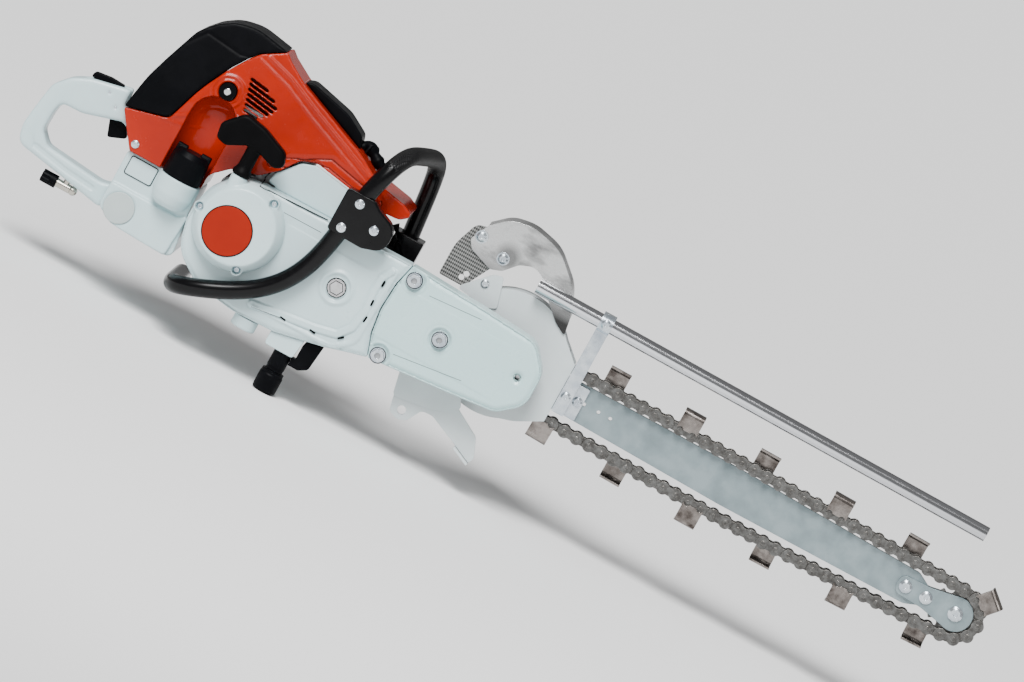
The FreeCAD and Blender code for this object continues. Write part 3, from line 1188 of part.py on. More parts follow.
def build_rear_handle():
    """D-shaped rear handle with pockets for the trigger and its lockout."""
    half = HANDLE_HALF_Y
    outer = prism_y([(-611.5, 80, 2), (-666, 68, 60), (-690, 56, 26), (-708, 36, 20), (-714, 0, 60),
                     (-718, -30, 40),
                     (-712, -54, 16), (-640, -66, 60), (TANK_REAR - GAP, -78, 3), (TANK_REAR - GAP, -44, 2),
                     (TANK_REAR - GAP - 1, 8, 2), (-611.5, 60, 1)], -half, half)
    loop = prism_y([(-690, 6, 30), (-686, 21, 16), (-655, 22, 20), (-603, 38, 6), (-560, 18, 0),
                    (-560, -40, 0),
                    (-590, -48, 20), (-676, -40, 14), (-691, -24, 14)], -half - 1, half + 1)
    handle = soften(outer.cut(loop), HANDLE_ROUND, handle_side_edges)
    slot = 7.0 + GAP
    pocket = box(-636, -570, -slot, slot, 5, 58)
    top_slot = prism_y([(-676, 62, 0), (-676, 92, 0), (-600, 92, 0), (-600, 62, 0), (-630, 55, 0),
                        (-643, 55, 0),
                        (-650, 61, 0)], -slot, slot)
    pins = [disc_y(x, z, 2.0 + FIT, -half - 1, half + 1) for x, z in (TRIGGER_PIN, LOCKOUT_PIN)]
    nodes["rear_handle"] = cut_all(handle, [pocket, top_slot] + pins)
    nodes["trigger_pins"] = Part.makeCompound(
        [disc_y(x, z, 2.0, -half + 0.5, half - 0.5) for x, z in (TRIGGER_PIN, LOCKOUT_PIN)])

    trigger = prism_y([(-626, 50, 5), (-622, 36, 10), (-612, 8, 3), (-602, 12, 8), (-588, 18, 3),
                       (-594, 32, 8),
                       (-606, 44, 6), (-612, 57, 5), (-624, 57, 5)], -7.0, 7.0)
    nodes["throttle_trigger"] = trigger.cut(disc_y(*TRIGGER_PIN, 2.0 + FIT, -9, 9))
    lockout = prism_y([(-669, 70, 2), (-667, 78, 4), (-644, 81, 10), (-624, 80, 2), (-622, 70, 4),
                       (-631, 59, 4),
                       (-641, 59, 4), (-648, 67, 5)], -7.0, 7.0)
    nodes["throttle_lockout"] = lockout.cut(disc_y(*LOCKOUT_PIN, 2.0 + FIT, -9, 9))


def handle_side_edges(edge):
    """Long edges of the two handle faces, away from the flat ends."""
    box_ = edge.BoundBox
    flat = abs(abs(box_.YMin) - HANDLE_HALF_Y) < 0.01 and abs(box_.YMax - box_.YMin) < 0.01
    return flat and box_.XMax < -613.0 and edge.Length > 0.01


def build_water():
    """Water tap under the rear handle, and the hose coupling under the belt housing."""
    z = -78.0
    y = -8.0
    body = joined([rod((-642, y, z), (-622, y, z), 6.0), rod((-630, y, z), (-630, y, -69.2), 4.5),
                   Part.makeSphere(6.5, V(-618, y, z))])
    nodes["water_tap"] = body
    knob = rod((-664, y, z), (-642 - GAP, y, z), 9.0)
    for i in range(6):
        angle = i * math.pi / 3.0
        groove = rod((-665, y + 10.5 * math.cos(angle), z + 10.5 * math.sin(angle)),
                     (-652, y + 10.5 * math.cos(angle), z + 10.5 * math.sin(angle)), 3.6)
        knob = knob.cut(groove)
    nodes["water_tap_knob"] = knob

    cx = -264.0
    cy = 0.5 * (GUARD_Y + ARM_OUT)
    bracket = prism_y([(-292, -90, 0), (-292, -121, 4), (-250, -121, 4), (-246, -90, 0)], cy - 15, cy + 15)
    nodes["coupling_bracket"] = bracket.cut(prism_y(housing_outline(-GAP), GUARD_Y - 5, ARM_OUT + 5))
    neck_r = 12.6
    elbow = prism_y([(-240, -80, 0), (-219, -80, 0), (-224, -126, 6), (-236, -133, 4),
                     (cx + neck_r + GAP, -133, 1),
                     (cx + neck_r + GAP, -120, 1)], cy - 8, cy + 8)
    above = prism_y(housing_outline(-GAP), GUARD_Y - 5, ARM_OUT + 5)
    nodes["hose_elbow"] = cut_all(elbow, [above, box(-292, -246 + GAP, cy - 16, cy + 16, -121 - GAP, -98)])
    core = spun_z(cx, cy, [(5.0, -181), (12.0, -181), (12.0, SLEEVE_TOP + SLEEVE_TRAVEL),
                           (neck_r, SLEEVE_TOP + SLEEVE_TRAVEL + 0.8), (neck_r, -121 - GAP), (5.0,
                                                                                              -121 - GAP)])
    nodes["hose_coupling"] = core
    slide_r = 12.0 + FIT + GAP
    nodes["coupling_sleeve"] = spun_z(cx, cy, [(slide_r, -179), (16.0, -179), (16.5, -177), (16.5, -156),
                                               (15.5, -154), (15.5, SLEEVE_TOP), (slide_r, SLEEVE_TOP)])


def build_front_handle():
    """Tubular front handle: under the engine, up the right side, over the top, down the left."""
    path = [(-440, 52, -112), (-440, TUBE_Y, -112), (-362, TUBE_Y, -80), (-318, TUBE_Y, -52),
            (-287, TUBE_Y, -6),
            (-277, TUBE_Y, 48), (-266, TUBE_Y, 130), (-246, TUBE_Y + 6, 192), (-206, 80, 192), (-193, 82,
                                                                                                64)]
    bends = 42.0
    nodes["front_handle"] = tube(path, TUBE_R, TUBE_WALL, bends)
    block = joined([prism_y([(-292, 58, 4), (-292, 120, 6), (-251, 120, 6), (-240, 112, 20),
                             (-210, 100, 24),
                             (-210, 66, 24), (-240, 56, 16)], GUARD_Y - 29.0, CLAMP_Y)])
    bore = pipe(path, TUBE_R + FIT, bends)
    screws = ((-268.0, 107.0), (-275.0, 68.0), (-235.0, 85.0))
    nodes["handle_clamp"] = largest(block.cut(bore))
    nodes["handle_screws"] = Part.makeCompound(
        [domed_head(x, z, 6.5, GUARD_Y - 29.0 - GAP, -1) for x, z in screws])
    foot = CASE_TOP + GAP
    arm = joined([box(-214, -172, 42, 98, foot, 82), box(CRANK_X + 44, -190, 42, 50, foot, 58),
                  box(CRANK_X + 44, CRANK_X + 58, 20, 50, foot, 58)])
    nodes["handle_bracket_left"] = arm.cut(bore)


def build_all():
    """Every sub-part in turn."""
    for step in (build_chain, build_sprockets, build_bar, build_case, build_deflector, build_guard_rod,
                 build_skid, build_arm, build_guard, build_housing, build_belt_drive, build_engine,
                 build_shroud, build_fan_cover, build_starter, build_tank, build_rear_handle, build_water,
                 build_front_handle):
        step()


def merge_small_pieces():
    """Pieces that are bought or fitted as one kind share a node, each still its own solid."""
    groups = {
        "attachment_bolts": ("bar_bolts", "deflector_bolts", "stay_bolt", "housing_bolts",
                             "rod_clamp_screw",
                             "skid_bolts", "nose_screws", "nose_axle"),
        "cover_screws": ("handle_screws", "shroud_screw", "starter_screws", "trigger_pins", "guard_nuts"),
        "cutters": ("cutters_left", "cutters_right"),
        "skid_bracket": ("lower_plate", "skid_bracket", "wear_edge"),
        "ball_bearings": ("crank_bearings", "spindle_bearings"),
        "spark_plug": ("spark_plug", "plug_boot"),
        "vibration_mounts": ("vibration_mounts", "mount_cap"),
        "hose_coupling": ("hose_coupling", "hose_elbow"),
        "blank_badges": ("starter_badge", "info_plate"),
        "crankshaft": ("crankshaft", "clutch_hub"),
        "spindle": ("spindle", "arbor_nut"),
        "sprocket_housing": ("sprocket_housing", "deflector_stay"),
        "underside_lugs": ("coupling_bracket", "support_foot"),
        "handle_brackets": ("handle_clamp", "handle_bracket_left"),
    }
    for group, members in groups.items():
        solids = []
        for member in members:
            solids += nodes.pop(member).Solids
        nodes[group] = Part.makeCompound(solids)


build_all()
merge_small_pieces()
whole = Part.makeCompound(list(nodes.values())).BoundBox
ORIGIN = V(0.5 * (whole.XMin + whole.XMax), 0.5 * (whole.YMin + whole.YMax), whole.ZMin)
os.makedirs("parts", exist_ok=True)
for name, shape in nodes.items():
    shape.translate(V(-ORIGIN.x, -ORIGIN.y, -ORIGIN.z))
    shape.exportStep("parts/" + name + ".step")
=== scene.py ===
import json
import math

import bpy
import numpy as np
from mathutils import Matrix, Vector
from mathutils.kdtree import KDTree


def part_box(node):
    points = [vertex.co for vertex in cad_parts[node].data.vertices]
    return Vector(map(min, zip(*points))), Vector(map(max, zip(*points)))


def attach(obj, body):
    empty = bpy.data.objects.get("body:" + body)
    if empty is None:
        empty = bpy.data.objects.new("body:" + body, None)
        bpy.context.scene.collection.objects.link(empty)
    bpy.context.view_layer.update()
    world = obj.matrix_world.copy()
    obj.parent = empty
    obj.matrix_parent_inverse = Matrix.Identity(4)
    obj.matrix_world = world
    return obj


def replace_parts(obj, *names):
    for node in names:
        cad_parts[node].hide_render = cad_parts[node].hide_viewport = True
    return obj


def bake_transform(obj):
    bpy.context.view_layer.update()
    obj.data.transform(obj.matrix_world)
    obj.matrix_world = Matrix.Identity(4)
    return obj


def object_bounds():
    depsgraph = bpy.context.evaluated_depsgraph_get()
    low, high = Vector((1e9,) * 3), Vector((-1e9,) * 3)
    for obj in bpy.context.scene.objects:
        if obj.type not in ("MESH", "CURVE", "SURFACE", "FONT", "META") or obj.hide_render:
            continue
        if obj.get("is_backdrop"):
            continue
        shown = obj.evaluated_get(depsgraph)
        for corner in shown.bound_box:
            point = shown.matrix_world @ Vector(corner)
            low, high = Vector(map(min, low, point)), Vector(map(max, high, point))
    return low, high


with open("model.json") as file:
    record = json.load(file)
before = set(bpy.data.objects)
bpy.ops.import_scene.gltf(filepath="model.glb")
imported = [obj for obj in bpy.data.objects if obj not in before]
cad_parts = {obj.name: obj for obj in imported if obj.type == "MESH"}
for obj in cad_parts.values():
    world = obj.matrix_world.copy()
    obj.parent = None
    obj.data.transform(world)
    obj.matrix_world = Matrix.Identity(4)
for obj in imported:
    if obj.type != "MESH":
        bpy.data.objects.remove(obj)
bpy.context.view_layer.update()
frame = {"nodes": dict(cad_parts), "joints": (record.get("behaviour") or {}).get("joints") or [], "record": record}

JOINTS = {joint["name"]: joint for joint in frame["joints"]}
BODIES = frame["record"]["behaviour"]["bodies"]
SPINDLE = Vector(JOINTS["spindle_spin"]["pos_m"])
MM = 0.001


def at(x, y, z):
    """Place given in millimetres from the spindle axis in the chain's middle plane."""
    return SPINDLE + Vector((x, y, z)) * MM


def body_of_node(node):
    """Name of the CAD body that holds a node."""
    return next(name for name, members in BODIES.items() if node in members)


VALVE = (-495.5, 146.0)      # places in the side view, in millimetres
BADGE = (-405.0, -10.0)
TENSIONER = (-243.0, -9.0)
NUT_PLACES = ((-157.0, 50.0), (-152.0, -61.0), (-90.0, -3.0))
SECOND_BOLT = (-64.0, -25.0, 129.0)


# ================= materials =================

class Shader:
    """A material's node tree with short helpers."""

    def __init__(self, name):
        self.material = bpy.data.materials.new(name)
        self.material.use_nodes = True
        self.nodes = self.material.node_tree.nodes
        self.links = self.material.node_tree.links
        self.skin = self.nodes["Principled BSDF"]

    def add(self, kind, **settings):
        """New node; settings name its properties."""
        node = self.nodes.new("ShaderNode" + kind)
        for key, value in settings.items():
            setattr(node, key, value)
        return node

    def join(self, source, target):
        """Link two sockets."""
        self.links.new(source, target)

    def place(self, stretch=(1.0, 1.0, 1.0)):
        """Position on the object in metres, stretched."""
        where = self.add("TexCoord")
        mapping = self.add("Mapping")
        mapping.inputs["Scale"].default_value = stretch
        self.join(where.outputs["Object"], mapping.inputs["Vector"])
        return mapping.outputs["Vector"]

    def noise(self, place, scale, detail=4.0, rough=0.55):
        """Soft random pattern."""
        node = self.add("TexNoise")
        node.inputs["Scale"].default_value = scale
        node.inputs["Detail"].default_value = detail
        node.inputs["Roughness"].default_value = rough
        self.join(place, node.inputs["Vector"])
        return node.outputs["Fac"]

    def ramp(self, value, low, high, first=0.0, last=1.0):
        """Value from low..high turned into first..last, clamped."""
        node = self.add("MapRange")
        node.inputs["From Min"].default_value = low
        node.inputs["From Max"].default_value = high
        node.inputs["To Min"].default_value = first
        node.inputs["To Max"].default_value = last
        self.join(value, node.inputs["Value"])
        return node.outputs["Result"]

    def maths(self, operation, first, second):
        """Sum, product or the like of two values; either may be a number."""
        node = self.add("Math", operation=operation)
        for socket, value in zip(node.inputs, (first, second)):
            if isinstance(value, (int, float)):
                socket.default_value = value
            else:
                self.join(value, socket)
        return node.outputs["Value"]

    def mix(self, amount, first, second):
        """Colour between two, by amount."""
        node = self.add("Mix", data_type="RGBA")
        self.join(amount, node.inputs["Factor"])
        for socket, value in ((node.inputs[6], first), (node.inputs[7], second)):
            if isinstance(value, tuple):
                socket.default_value = (*value, 1.0)
            else:
                self.join(value, socket)
        return node.outputs[2]

    def edges(self, radius):
        """Rounded normal, and how much an edge turns there."""
        bevel = self.add("Bevel", samples=4)
        bevel.inputs["Radius"].default_value = radius
        geometry = self.add("NewGeometry")
        dot = self.add("VectorMath", operation="DOT_PRODUCT")
        self.join(bevel.outputs["Normal"], dot.inputs[0])
        self.join(geometry.outputs["Normal"], dot.inputs[1])
        turn = self.maths("SUBTRACT", 1.0, dot.outputs["Value"])
        return bevel.outputs["Normal"], turn

    def bump(self, height, distance, normal, strength=1.0):
        """Normal tilted by a height pattern."""
        node = self.add("Bump")
        node.inputs["Distance"].default_value = distance
        node.inputs["Strength"].default_value = strength
        self.join(height, node.inputs["Height"])
        if normal is not None:
            self.join(normal, node.inputs["Normal"])
        return node.outputs["Normal"]


def finished(name, colour, second, metallic=0.0, rough=0.4, spread=0.08, patch=18.0, grain=900.0,
             depth=0.00004, edge_wear_and_shade=0.0, worn=(0.5, 0.5, 0.5), coat=0.0, edge=0.0007, stretch=(1.0, 1.0, 1.0),
             streak=(1.0, 1.0, 1.0), gloss=0.5, outline=0.0):
    """Surface with colour variation, grain and rounded edges; an edge colour that is abrasion on some finishes and
    painted edge shade on others; outline paints shade into creases.
    """
    s = Shader(name)
    place = s.place()
    clouds = s.noise(s.place(streak), patch, 5.0)
    s.skin.inputs["Specular IOR Level"].default_value = gloss
    base = s.mix(s.ramp(clouds, 0.35, 0.7), colour, second)
    normal, turn = s.edges(edge)
    # edge colour: abrasion on most finishes, painted edge shade where a metal's edges are darkened (machined
    # steel, chrome)
    if edge_wear_and_shade:
        edge_breakup_noise = s.noise(place, 220.0, 6.0, 0.7)
        edge_wear_and_shade_mask = s.maths("MULTIPLY", s.ramp(turn, 0.02, 0.25), s.ramp(edge_breakup_noise, 0.42, 0.6))
        base = s.mix(s.maths("MULTIPLY", edge_wear_and_shade_mask, edge_wear_and_shade), base, worn)
    # painted shade in creases: the colour darkens where the rounded normal turns away from the true one
    if outline:
        painted_crease_shade = s.ramp(turn, 0.006, 0.11, 0.0, outline)
        base = s.mix(painted_crease_shade, base, tuple(0.3 * value for value in colour))
    s.join(base, s.skin.inputs["Base Color"])
    s.skin.inputs["Metallic"].default_value = metallic
    s.skin.inputs["Coat Weight"].default_value = coat
    s.skin.inputs["Coat Roughness"].default_value = 0.08
    fine = s.noise(s.place(stretch), grain, 3.0)
    rough_value = s.ramp(s.noise(place, 60.0, 6.0, 0.65), 0.3, 0.7, rough - spread, rough + spread)
    s.join(rough_value, s.skin.inputs["Roughness"])
    s.join(s.bump(fine, depth, normal), s.skin.inputs["Normal"])
    return s.material


def woven(name, light, dark, pitch):
    """Coated fabric pressed with a diamond pattern."""
    s = Shader(name)
    place = s.place()
    split = s.add("SeparateXYZ")
    s.join(place, split.inputs["Vector"])
    frequency = 2.0 * math.pi / pitch
    along = s.maths("ADD", split.outputs["X"], s.maths("MULTIPLY", split.outputs["Z"], 0.55))
    across = s.maths("SUBTRACT", split.outputs["X"], s.maths("MULTIPLY", split.outputs["Z"], 0.55))
    first = s.maths("SINE", s.maths("MULTIPLY", along, frequency), 0.0)
    second = s.maths("SINE", s.maths("MULTIPLY", across, frequency), 0.0)
    weave = s.ramp(s.maths("MULTIPLY", first, second), -0.6, 0.6)
    soil = s.noise(place, 45.0, 5.0)
    share = s.maths("MULTIPLY", weave, s.ramp(soil, 0.2, 0.8, 0.7, 1.0))
    s.join(s.mix(share, dark, light), s.skin.inputs["Base Color"])
    s.skin.inputs["Roughness"].default_value = 0.62
    s.join(s.bump(weave, 0.0009, None), s.skin.inputs["Normal"])
    return s.material


def oily_steel(name, clean, dirt, rough):
    """Dark chain steel: bare on the rims from use, brown with soil and oil elsewhere."""
    s = Shader(name)
    place = s.place()
    normal, turn = s.edges(0.0009)
    soil = s.noise(place, 130.0, 7.0, 0.7)
    pits = s.noise(place, 700.0, 4.0)
    base = s.mix(s.ramp(soil, 0.38, 0.62), clean, dirt)
    bright = s.maths("MULTIPLY", s.ramp(turn, 0.015, 0.2), s.ramp(pits, 0.35, 0.6))
    base = s.mix(bright, base, (0.42, 0.38, 0.34))
    s.join(base, s.skin.inputs["Base Color"])
    s.skin.inputs["Metallic"].default_value = 0.85
    s.join(s.ramp(soil, 0.3, 0.7, rough - 0.12, rough + 0.16), s.skin.inputs["Roughness"])
    s.join(s.bump(pits, 0.00012, normal), s.skin.inputs["Normal"])
    return s.material


def shaded_sheet(name):
    """Brushed stainless sheet with painted shade where it turns down and in a soft ring around the second bolt,
    and random darker mottles.
    """
    s = Shader(name)
    place = s.place()
    split = s.add("SeparateXYZ")
    s.join(place, split.inputs["Vector"])
    normal = s.edges(0.0006)[0]
    # painted shade: the sheet darkens towards its lower part, where it turns down
    low = s.ramp(split.outputs["Z"], SPINDLE.z + 0.128, SPINDLE.z + 0.088)
    away = s.add("VectorMath", operation="DISTANCE")
    s.join(place, away.inputs[0])
    away.inputs[1].default_value = at(*SECOND_BOLT)
    # painted shade in a soft ring about the second bolt, where the sheet is dented
    bolt_ring_shade = s.ramp(away.outputs["Value"], 0.024, 0.010)
    clouds = s.ramp(s.noise(s.place((1.0, 0.4, 2.2)), 14.0, 4.0), 0.46, 0.64, 0.0, 0.72)
    shade = s.maths("MAXIMUM", s.maths("MAXIMUM", low, s.maths("MULTIPLY", bolt_ring_shade, 0.7)), clouds)
    s.join(s.mix(shade, (0.68, 0.69, 0.69), (0.05, 0.05, 0.05)), s.skin.inputs["Base Color"])
    s.skin.inputs["Metallic"].default_value = 1.0
    brushed = s.noise(s.place((1.0, 1.0, 14.0)), 320.0, 4.0)
    s.join(s.ramp(brushed, 0.3, 0.7, 0.2, 0.36), s.skin.inputs["Roughness"])
    s.join(s.bump(brushed, 0.00003, normal), s.skin.inputs["Normal"])
    return s.material


def cutter_steel(name):
    """Worn cutter: polished by the soil in streaks, dark brown where it stays."""
    return finished(name, (0.30, 0.27, 0.25), (0.05, 0.04, 0.035), metallic=0.95, rough=0.24, spread=0.1,
                    patch=95.0, grain=380.0, depth=0.00008, edge_wear_and_shade=0.9, worn=(0.62, 0.6, 0.58),
                    streak=(0.6, 3.0, 0.6))


def ribbed_tube(name):
    """Gloss black tube whose top, where it is held, has a pattern of small ribs."""
    s = Shader(name)
    place = s.place()
    split = s.add("SeparateXYZ")
    s.join(place, split.inputs["Vector"])
    normal = s.edges(0.0007)[0]
    held = s.ramp(split.outputs["Z"], SPINDLE.z + 0.168, SPINDLE.z + 0.176)
    rings = s.maths("SINE", s.maths("MULTIPLY", split.outputs["Y"], 2.0 * math.pi / 0.0036), 0.0)
    rows = s.maths("SINE", s.maths("MULTIPLY", split.outputs["X"], 2.0 * math.pi / 0.0036), 0.0)
    dots = s.maths("MULTIPLY", s.maths("MULTIPLY", rings, rows), held)
    scuffs = s.ramp(s.noise(place, 70.0, 6.0, 0.7), 0.5, 0.75)
    s.join(s.mix(scuffs, (0.0016, 0.0016, 0.002), (0.005, 0.005, 0.0055)), s.skin.inputs["Base Color"])
    s.skin.inputs["Specular IOR Level"].default_value = 0.22
    s.join(s.ramp(held, 0.0, 1.0, 0.2, 0.5), s.skin.inputs["Roughness"])
    s.join(s.bump(dots, 0.0006, normal), s.skin.inputs["Normal"])
    return s.material


def make_materials():
    """Every finish on the machine, by the record's material slot."""
    white = (0.55, 0.70, 0.72)
    return {
        # outline paints shade into the creases of the white and orange mouldings
        "body_white": finished("painted_white", white, (0.49, 0.64, 0.665), rough=0.33, patch=9.0,
                               grain=1400.0, depth=0.00003, edge_wear_and_shade=0.3, worn=(0.40, 0.45, 0.46), coat=0.15,
                               edge=0.0016, outline=0.75),
        "guard_white": finished("guard_white", (0.46, 0.66, 0.665), (0.50, 0.69, 0.695), rough=0.3,
                                patch=7.0, grain=1400.0, depth=0.00003, edge_wear_and_shade=0.3,
                                worn=(0.4, 0.45, 0.46), coat=0.2, edge=0.0016, outline=0.75),
        "shroud_orange": finished("gloss_orange", (0.36, 0.012, 0.0), (0.27, 0.008, 0.0), rough=0.24,
                                  spread=0.06, patch=11.0, grain=700.0, depth=0.00003, edge_wear_and_shade=0.2,
                                  worn=(0.5, 0.07, 0.02), coat=0.12, gloss=0.2, edge=0.0014, outline=0.5),
        "badge": finished("badge_orange", (0.29, 0.010, 0.0), (0.25, 0.008, 0.0), rough=0.4, coat=0.05,
                          grain=2000.0, depth=0.00001, gloss=0.15),
        "black_plastic": finished("moulded_black", (0.0014, 0.0016, 0.0022), (0.0028, 0.003, 0.004),
                                  rough=0.42, patch=25.0, grain=1500.0, depth=0.00006, edge_wear_and_shade=0.25,
                                  worn=(0.02, 0.02, 0.022), gloss=0.05),
        "grip_black": finished("grip_rubber", (0.0012, 0.0012, 0.0014), (0.0026, 0.0026, 0.003), rough=0.5,
                               grain=1100.0, depth=0.00008, gloss=0.05),
        "black_metal": finished("black_paint", (0.0012, 0.0012, 0.0015), (0.003, 0.003, 0.0035), rough=0.2,
                                spread=0.08, grain=500.0, depth=0.00003, edge_wear_and_shade=0.25, worn=(0.04, 0.04, 0.04),
                                gloss=0.2),
        "cast_alloy": finished("cast_alloy", (0.44, 0.45, 0.46), (0.33, 0.34, 0.35), metallic=0.8, rough=0.5,
                               patch=40.0, grain=500.0, depth=0.00025, edge_wear_and_shade=0.3, worn=(0.6, 0.6, 0.6)),
        "dark_steel": finished("heat_blued_steel", (0.12, 0.10, 0.09), (0.19, 0.14, 0.10), metallic=0.8,
                               rough=0.45, patch=35.0, grain=400.0, depth=0.0001),
        # machined steel: its dark edge colour is painted edge shade
        "machined_steel": finished("machined_steel", (0.62, 0.62, 0.63), (0.46, 0.46, 0.47), metallic=1.0,
                                   rough=0.24, patch=60.0, grain=900.0, depth=0.00003, stretch=(1, 12, 1),
                                   edge_wear_and_shade=0.5, worn=(0.12, 0.12, 0.12), edge=0.0005),
        "chain_steel": oily_steel("chain_steel", (0.165, 0.165, 0.16), (0.075, 0.072, 0.068), 0.36),
        "belt_rubber": finished("belt_rubber", (0.003, 0.003, 0.003), (0.006, 0.006, 0.006), rough=0.7,
                                gloss=0.15),
        "ceramic_white": finished("glazed_ceramic", (0.75, 0.75, 0.72), (0.7, 0.69, 0.66), rough=0.15,
                                  coat=0.5),
        "filter_paper": finished("filter_paper", (0.52, 0.43, 0.25), (0.40, 0.33, 0.2), rough=0.9,
                                 grain=300.0, depth=0.0003, stretch=(6, 1, 0.2)),
        "mount_rubber": finished("mount_rubber", (0.40, 0.47, 0.47), (0.46, 0.53, 0.52), rough=0.5,
                                 grain=800.0, edge_wear_and_shade=0.5, worn=(0.08, 0.09, 0.09)),
        # bright chrome: its dark edge colour is painted edge shade
        "bright_chrome": finished("bright_chrome", (0.80, 0.82, 0.84), (0.6, 0.62, 0.64), metallic=1.0,
                                  rough=0.12, spread=0.04, edge_wear_and_shade=0.9, worn=(0.05, 0.05, 0.05), edge=0.0005),
        "brass_fitting": finished("plated_brass", (0.55, 0.52, 0.46), (0.45, 0.42, 0.36), metallic=1.0,
                                  rough=0.25),
        "rope": finished("rope_braid", (0.01, 0.01, 0.01), (0.05, 0.05, 0.05), rough=0.85, patch=900.0,
                         depth=0.0004, stretch=(1, 1, 0.4)),
        "pale_sheet": finished("pale_paint", (0.60, 0.66, 0.67), (0.52, 0.575, 0.585), rough=0.42,
                               patch=14.0, grain=420.0, depth=0.00008, edge_wear_and_shade=0.7, worn=(0.25, 0.235, 0.225)),
        "stainless": finished("stainless_sheet", (0.56, 0.56, 0.555), (0.16, 0.155, 0.15), metallic=1.0,
                              rough=0.26, spread=0.08, patch=9.0, grain=260.0, depth=0.00004,
                              stretch=(1, 1, 9), streak=(1.0, 0.4, 2.2)),
        "woven_flap": woven("woven_flap", (0.30, 0.30, 0.29), (0.02, 0.02, 0.02), 0.0056),
        # painted reflections: the bright and dark streaks along the rod stand for reflected light
        "polished_rod": finished("polished_rod", (0.80, 0.82, 0.86), (0.16, 0.15, 0.15), metallic=1.0,
                                 rough=0.13, spread=0.02, patch=70.0, grain=300.0, depth=0.000002,
                                 stretch=(0.01, 4, 4), streak=(0.004, 1.0, 1.0)),
        "zinc": finished("zinc_plate", (0.70, 0.76, 0.80), (0.42, 0.48, 0.55), metallic=0.9, rough=0.22,
                         patch=55.0, grain=500.0, depth=0.00006, edge_wear_and_shade=0.3, worn=(0.25, 0.26, 0.28)),
        "bar_steel": finished("galvanised_bar", (0.27, 0.335, 0.355), (0.165, 0.215, 0.23), metallic=0.45,
                              rough=0.36, patch=26.0, grain=260.0, depth=0.00009, edge_wear_and_shade=0.6,
                              worn=(0.2, 0.2, 0.2), stretch=(0.5, 1, 1)),
    }


MATERIALS = make_materials()


def coat_nodes():
    """Each CAD node gets the detailed finish of its own slot."""
    slots = {part["node"]: part["material_slot"] for part in frame["record"]["subparts"]}
    for node, obj in frame["nodes"].items():
        obj.data.materials.clear()
        obj.data.materials.append(MATERIALS[slots[node]])
    special = {"front_handle": ribbed_tube("ribbed_tube"), "cutters": cutter_steel("cutter_steel"),
               "deflector": shaded_sheet("shaded_sheet")}
    for node, material in special.items():
        frame["nodes"][node].data.materials[0] = material
    return slots


SLOTS = coat_nodes()


# ================= mesh helpers =================

def new_piece(name, mesh, body, slot, material=None):
    """Object that rides on a body and takes its finish from a slot."""
    obj = bpy.data.objects.new(name, mesh)
    bpy.context.scene.collection.objects.link(obj)
    if not mesh.materials:
        mesh.materials.append(material or MATERIALS[slot])
    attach(obj, body)
    return obj


def applied(obj):
    """Mesh of an object with its modifiers worked in."""
    graph = bpy.context.evaluated_depsgraph_get()
    return bpy.data.meshes.new_from_object(obj.evaluated_get(graph))


def coordinates(mesh):
    """Vertex places as an array."""
    flat = np.empty(len(mesh.vertices) * 3)
    mesh.vertices.foreach_get("co", flat)
    return flat.reshape(-1, 3)


def normals(mesh):
    """Vertex normals as an array."""
    flat = np.empty(len(mesh.vertices) * 3)
    mesh.vertices.foreach_get("normal", flat)
    return flat.reshape(-1, 3)


def softened(node, name, voxel=1.5, rounds=6, sculpt=None, keep=0.5):
    """A CAD shell as one smooth moulding: sharp corners melt, and sculpt() may press features into it."""
    source = bpy.data.objects.new("source", frame["nodes"][node].data.copy())
    bpy.context.scene.collection.objects.link(source)
    remesh = source.modifiers.new("remesh", "REMESH")
    remesh.mode = "VOXEL"
    remesh.voxel_size = voxel * MM
    smooth = source.modifiers.new("smooth", "SMOOTH")
    smooth.factor = 0.5
    smooth.iterations = rounds
    mesh = applied(source)
    if sculpt:
        places = coordinates(mesh)
        local = (places - np.array(SPINDLE)) / MM
        push = sculpt(local, normals(mesh))
        mesh.vertices.foreach_set("co", (places + push * MM).ravel())
    source.modifiers.clear()
    source.data = mesh
    thin = source.modifiers.new("thin", "DECIMATE")
    thin.ratio = keep
    mesh = applied(source)
    bpy.data.objects.remove(source)
    mesh.materials.clear()
    mesh.materials.append(MATERIALS[SLOTS[node]])
    mesh.polygons.foreach_set("use_smooth", [True] * len(mesh.polygons))
    piece = new_piece(name, mesh, body_of_node(node), SLOTS[node])
    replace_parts(piece, node)
    return piece


def step(value, low, high):
    """0 below low, 1 above high, smooth between."""
    t = np.clip((value - low) / (high - low), 0.0, 1.0)
    return t * t * (3.0 - 2.0 * t)


def near_line(x, z, points):
    """Distance from (x, z) to a line through points, in the side view."""
    best = np.full(len(x), 1e9)
    for (x0, z0), (x1, z1) in zip(points[:-1], points[1:]):
        dx = x1 - x0
        dz = z1 - z0
        t = np.clip(((x - x0) * dx + (z - z0) * dz) / (dx * dx + dz * dz), 0.0, 1.0)
        best = np.minimum(best, np.hypot(x - x0 - t * dx, z - z0 - t * dz))
    return best


def ridge(distance, width):
    """Rounded bead of a width, 1 at its middle."""
    return np.where(distance < width, np.cos(distance / width * math.pi / 2.0) ** 2, 0.0)


def sideways(amount, normal):
    """Push along y: outwards on both sides of the machine."""
    push = np.zeros_like(normal)
    push[:, 1] = amount * np.sign(normal[:, 1])
    return push


# ================= engine covers =================

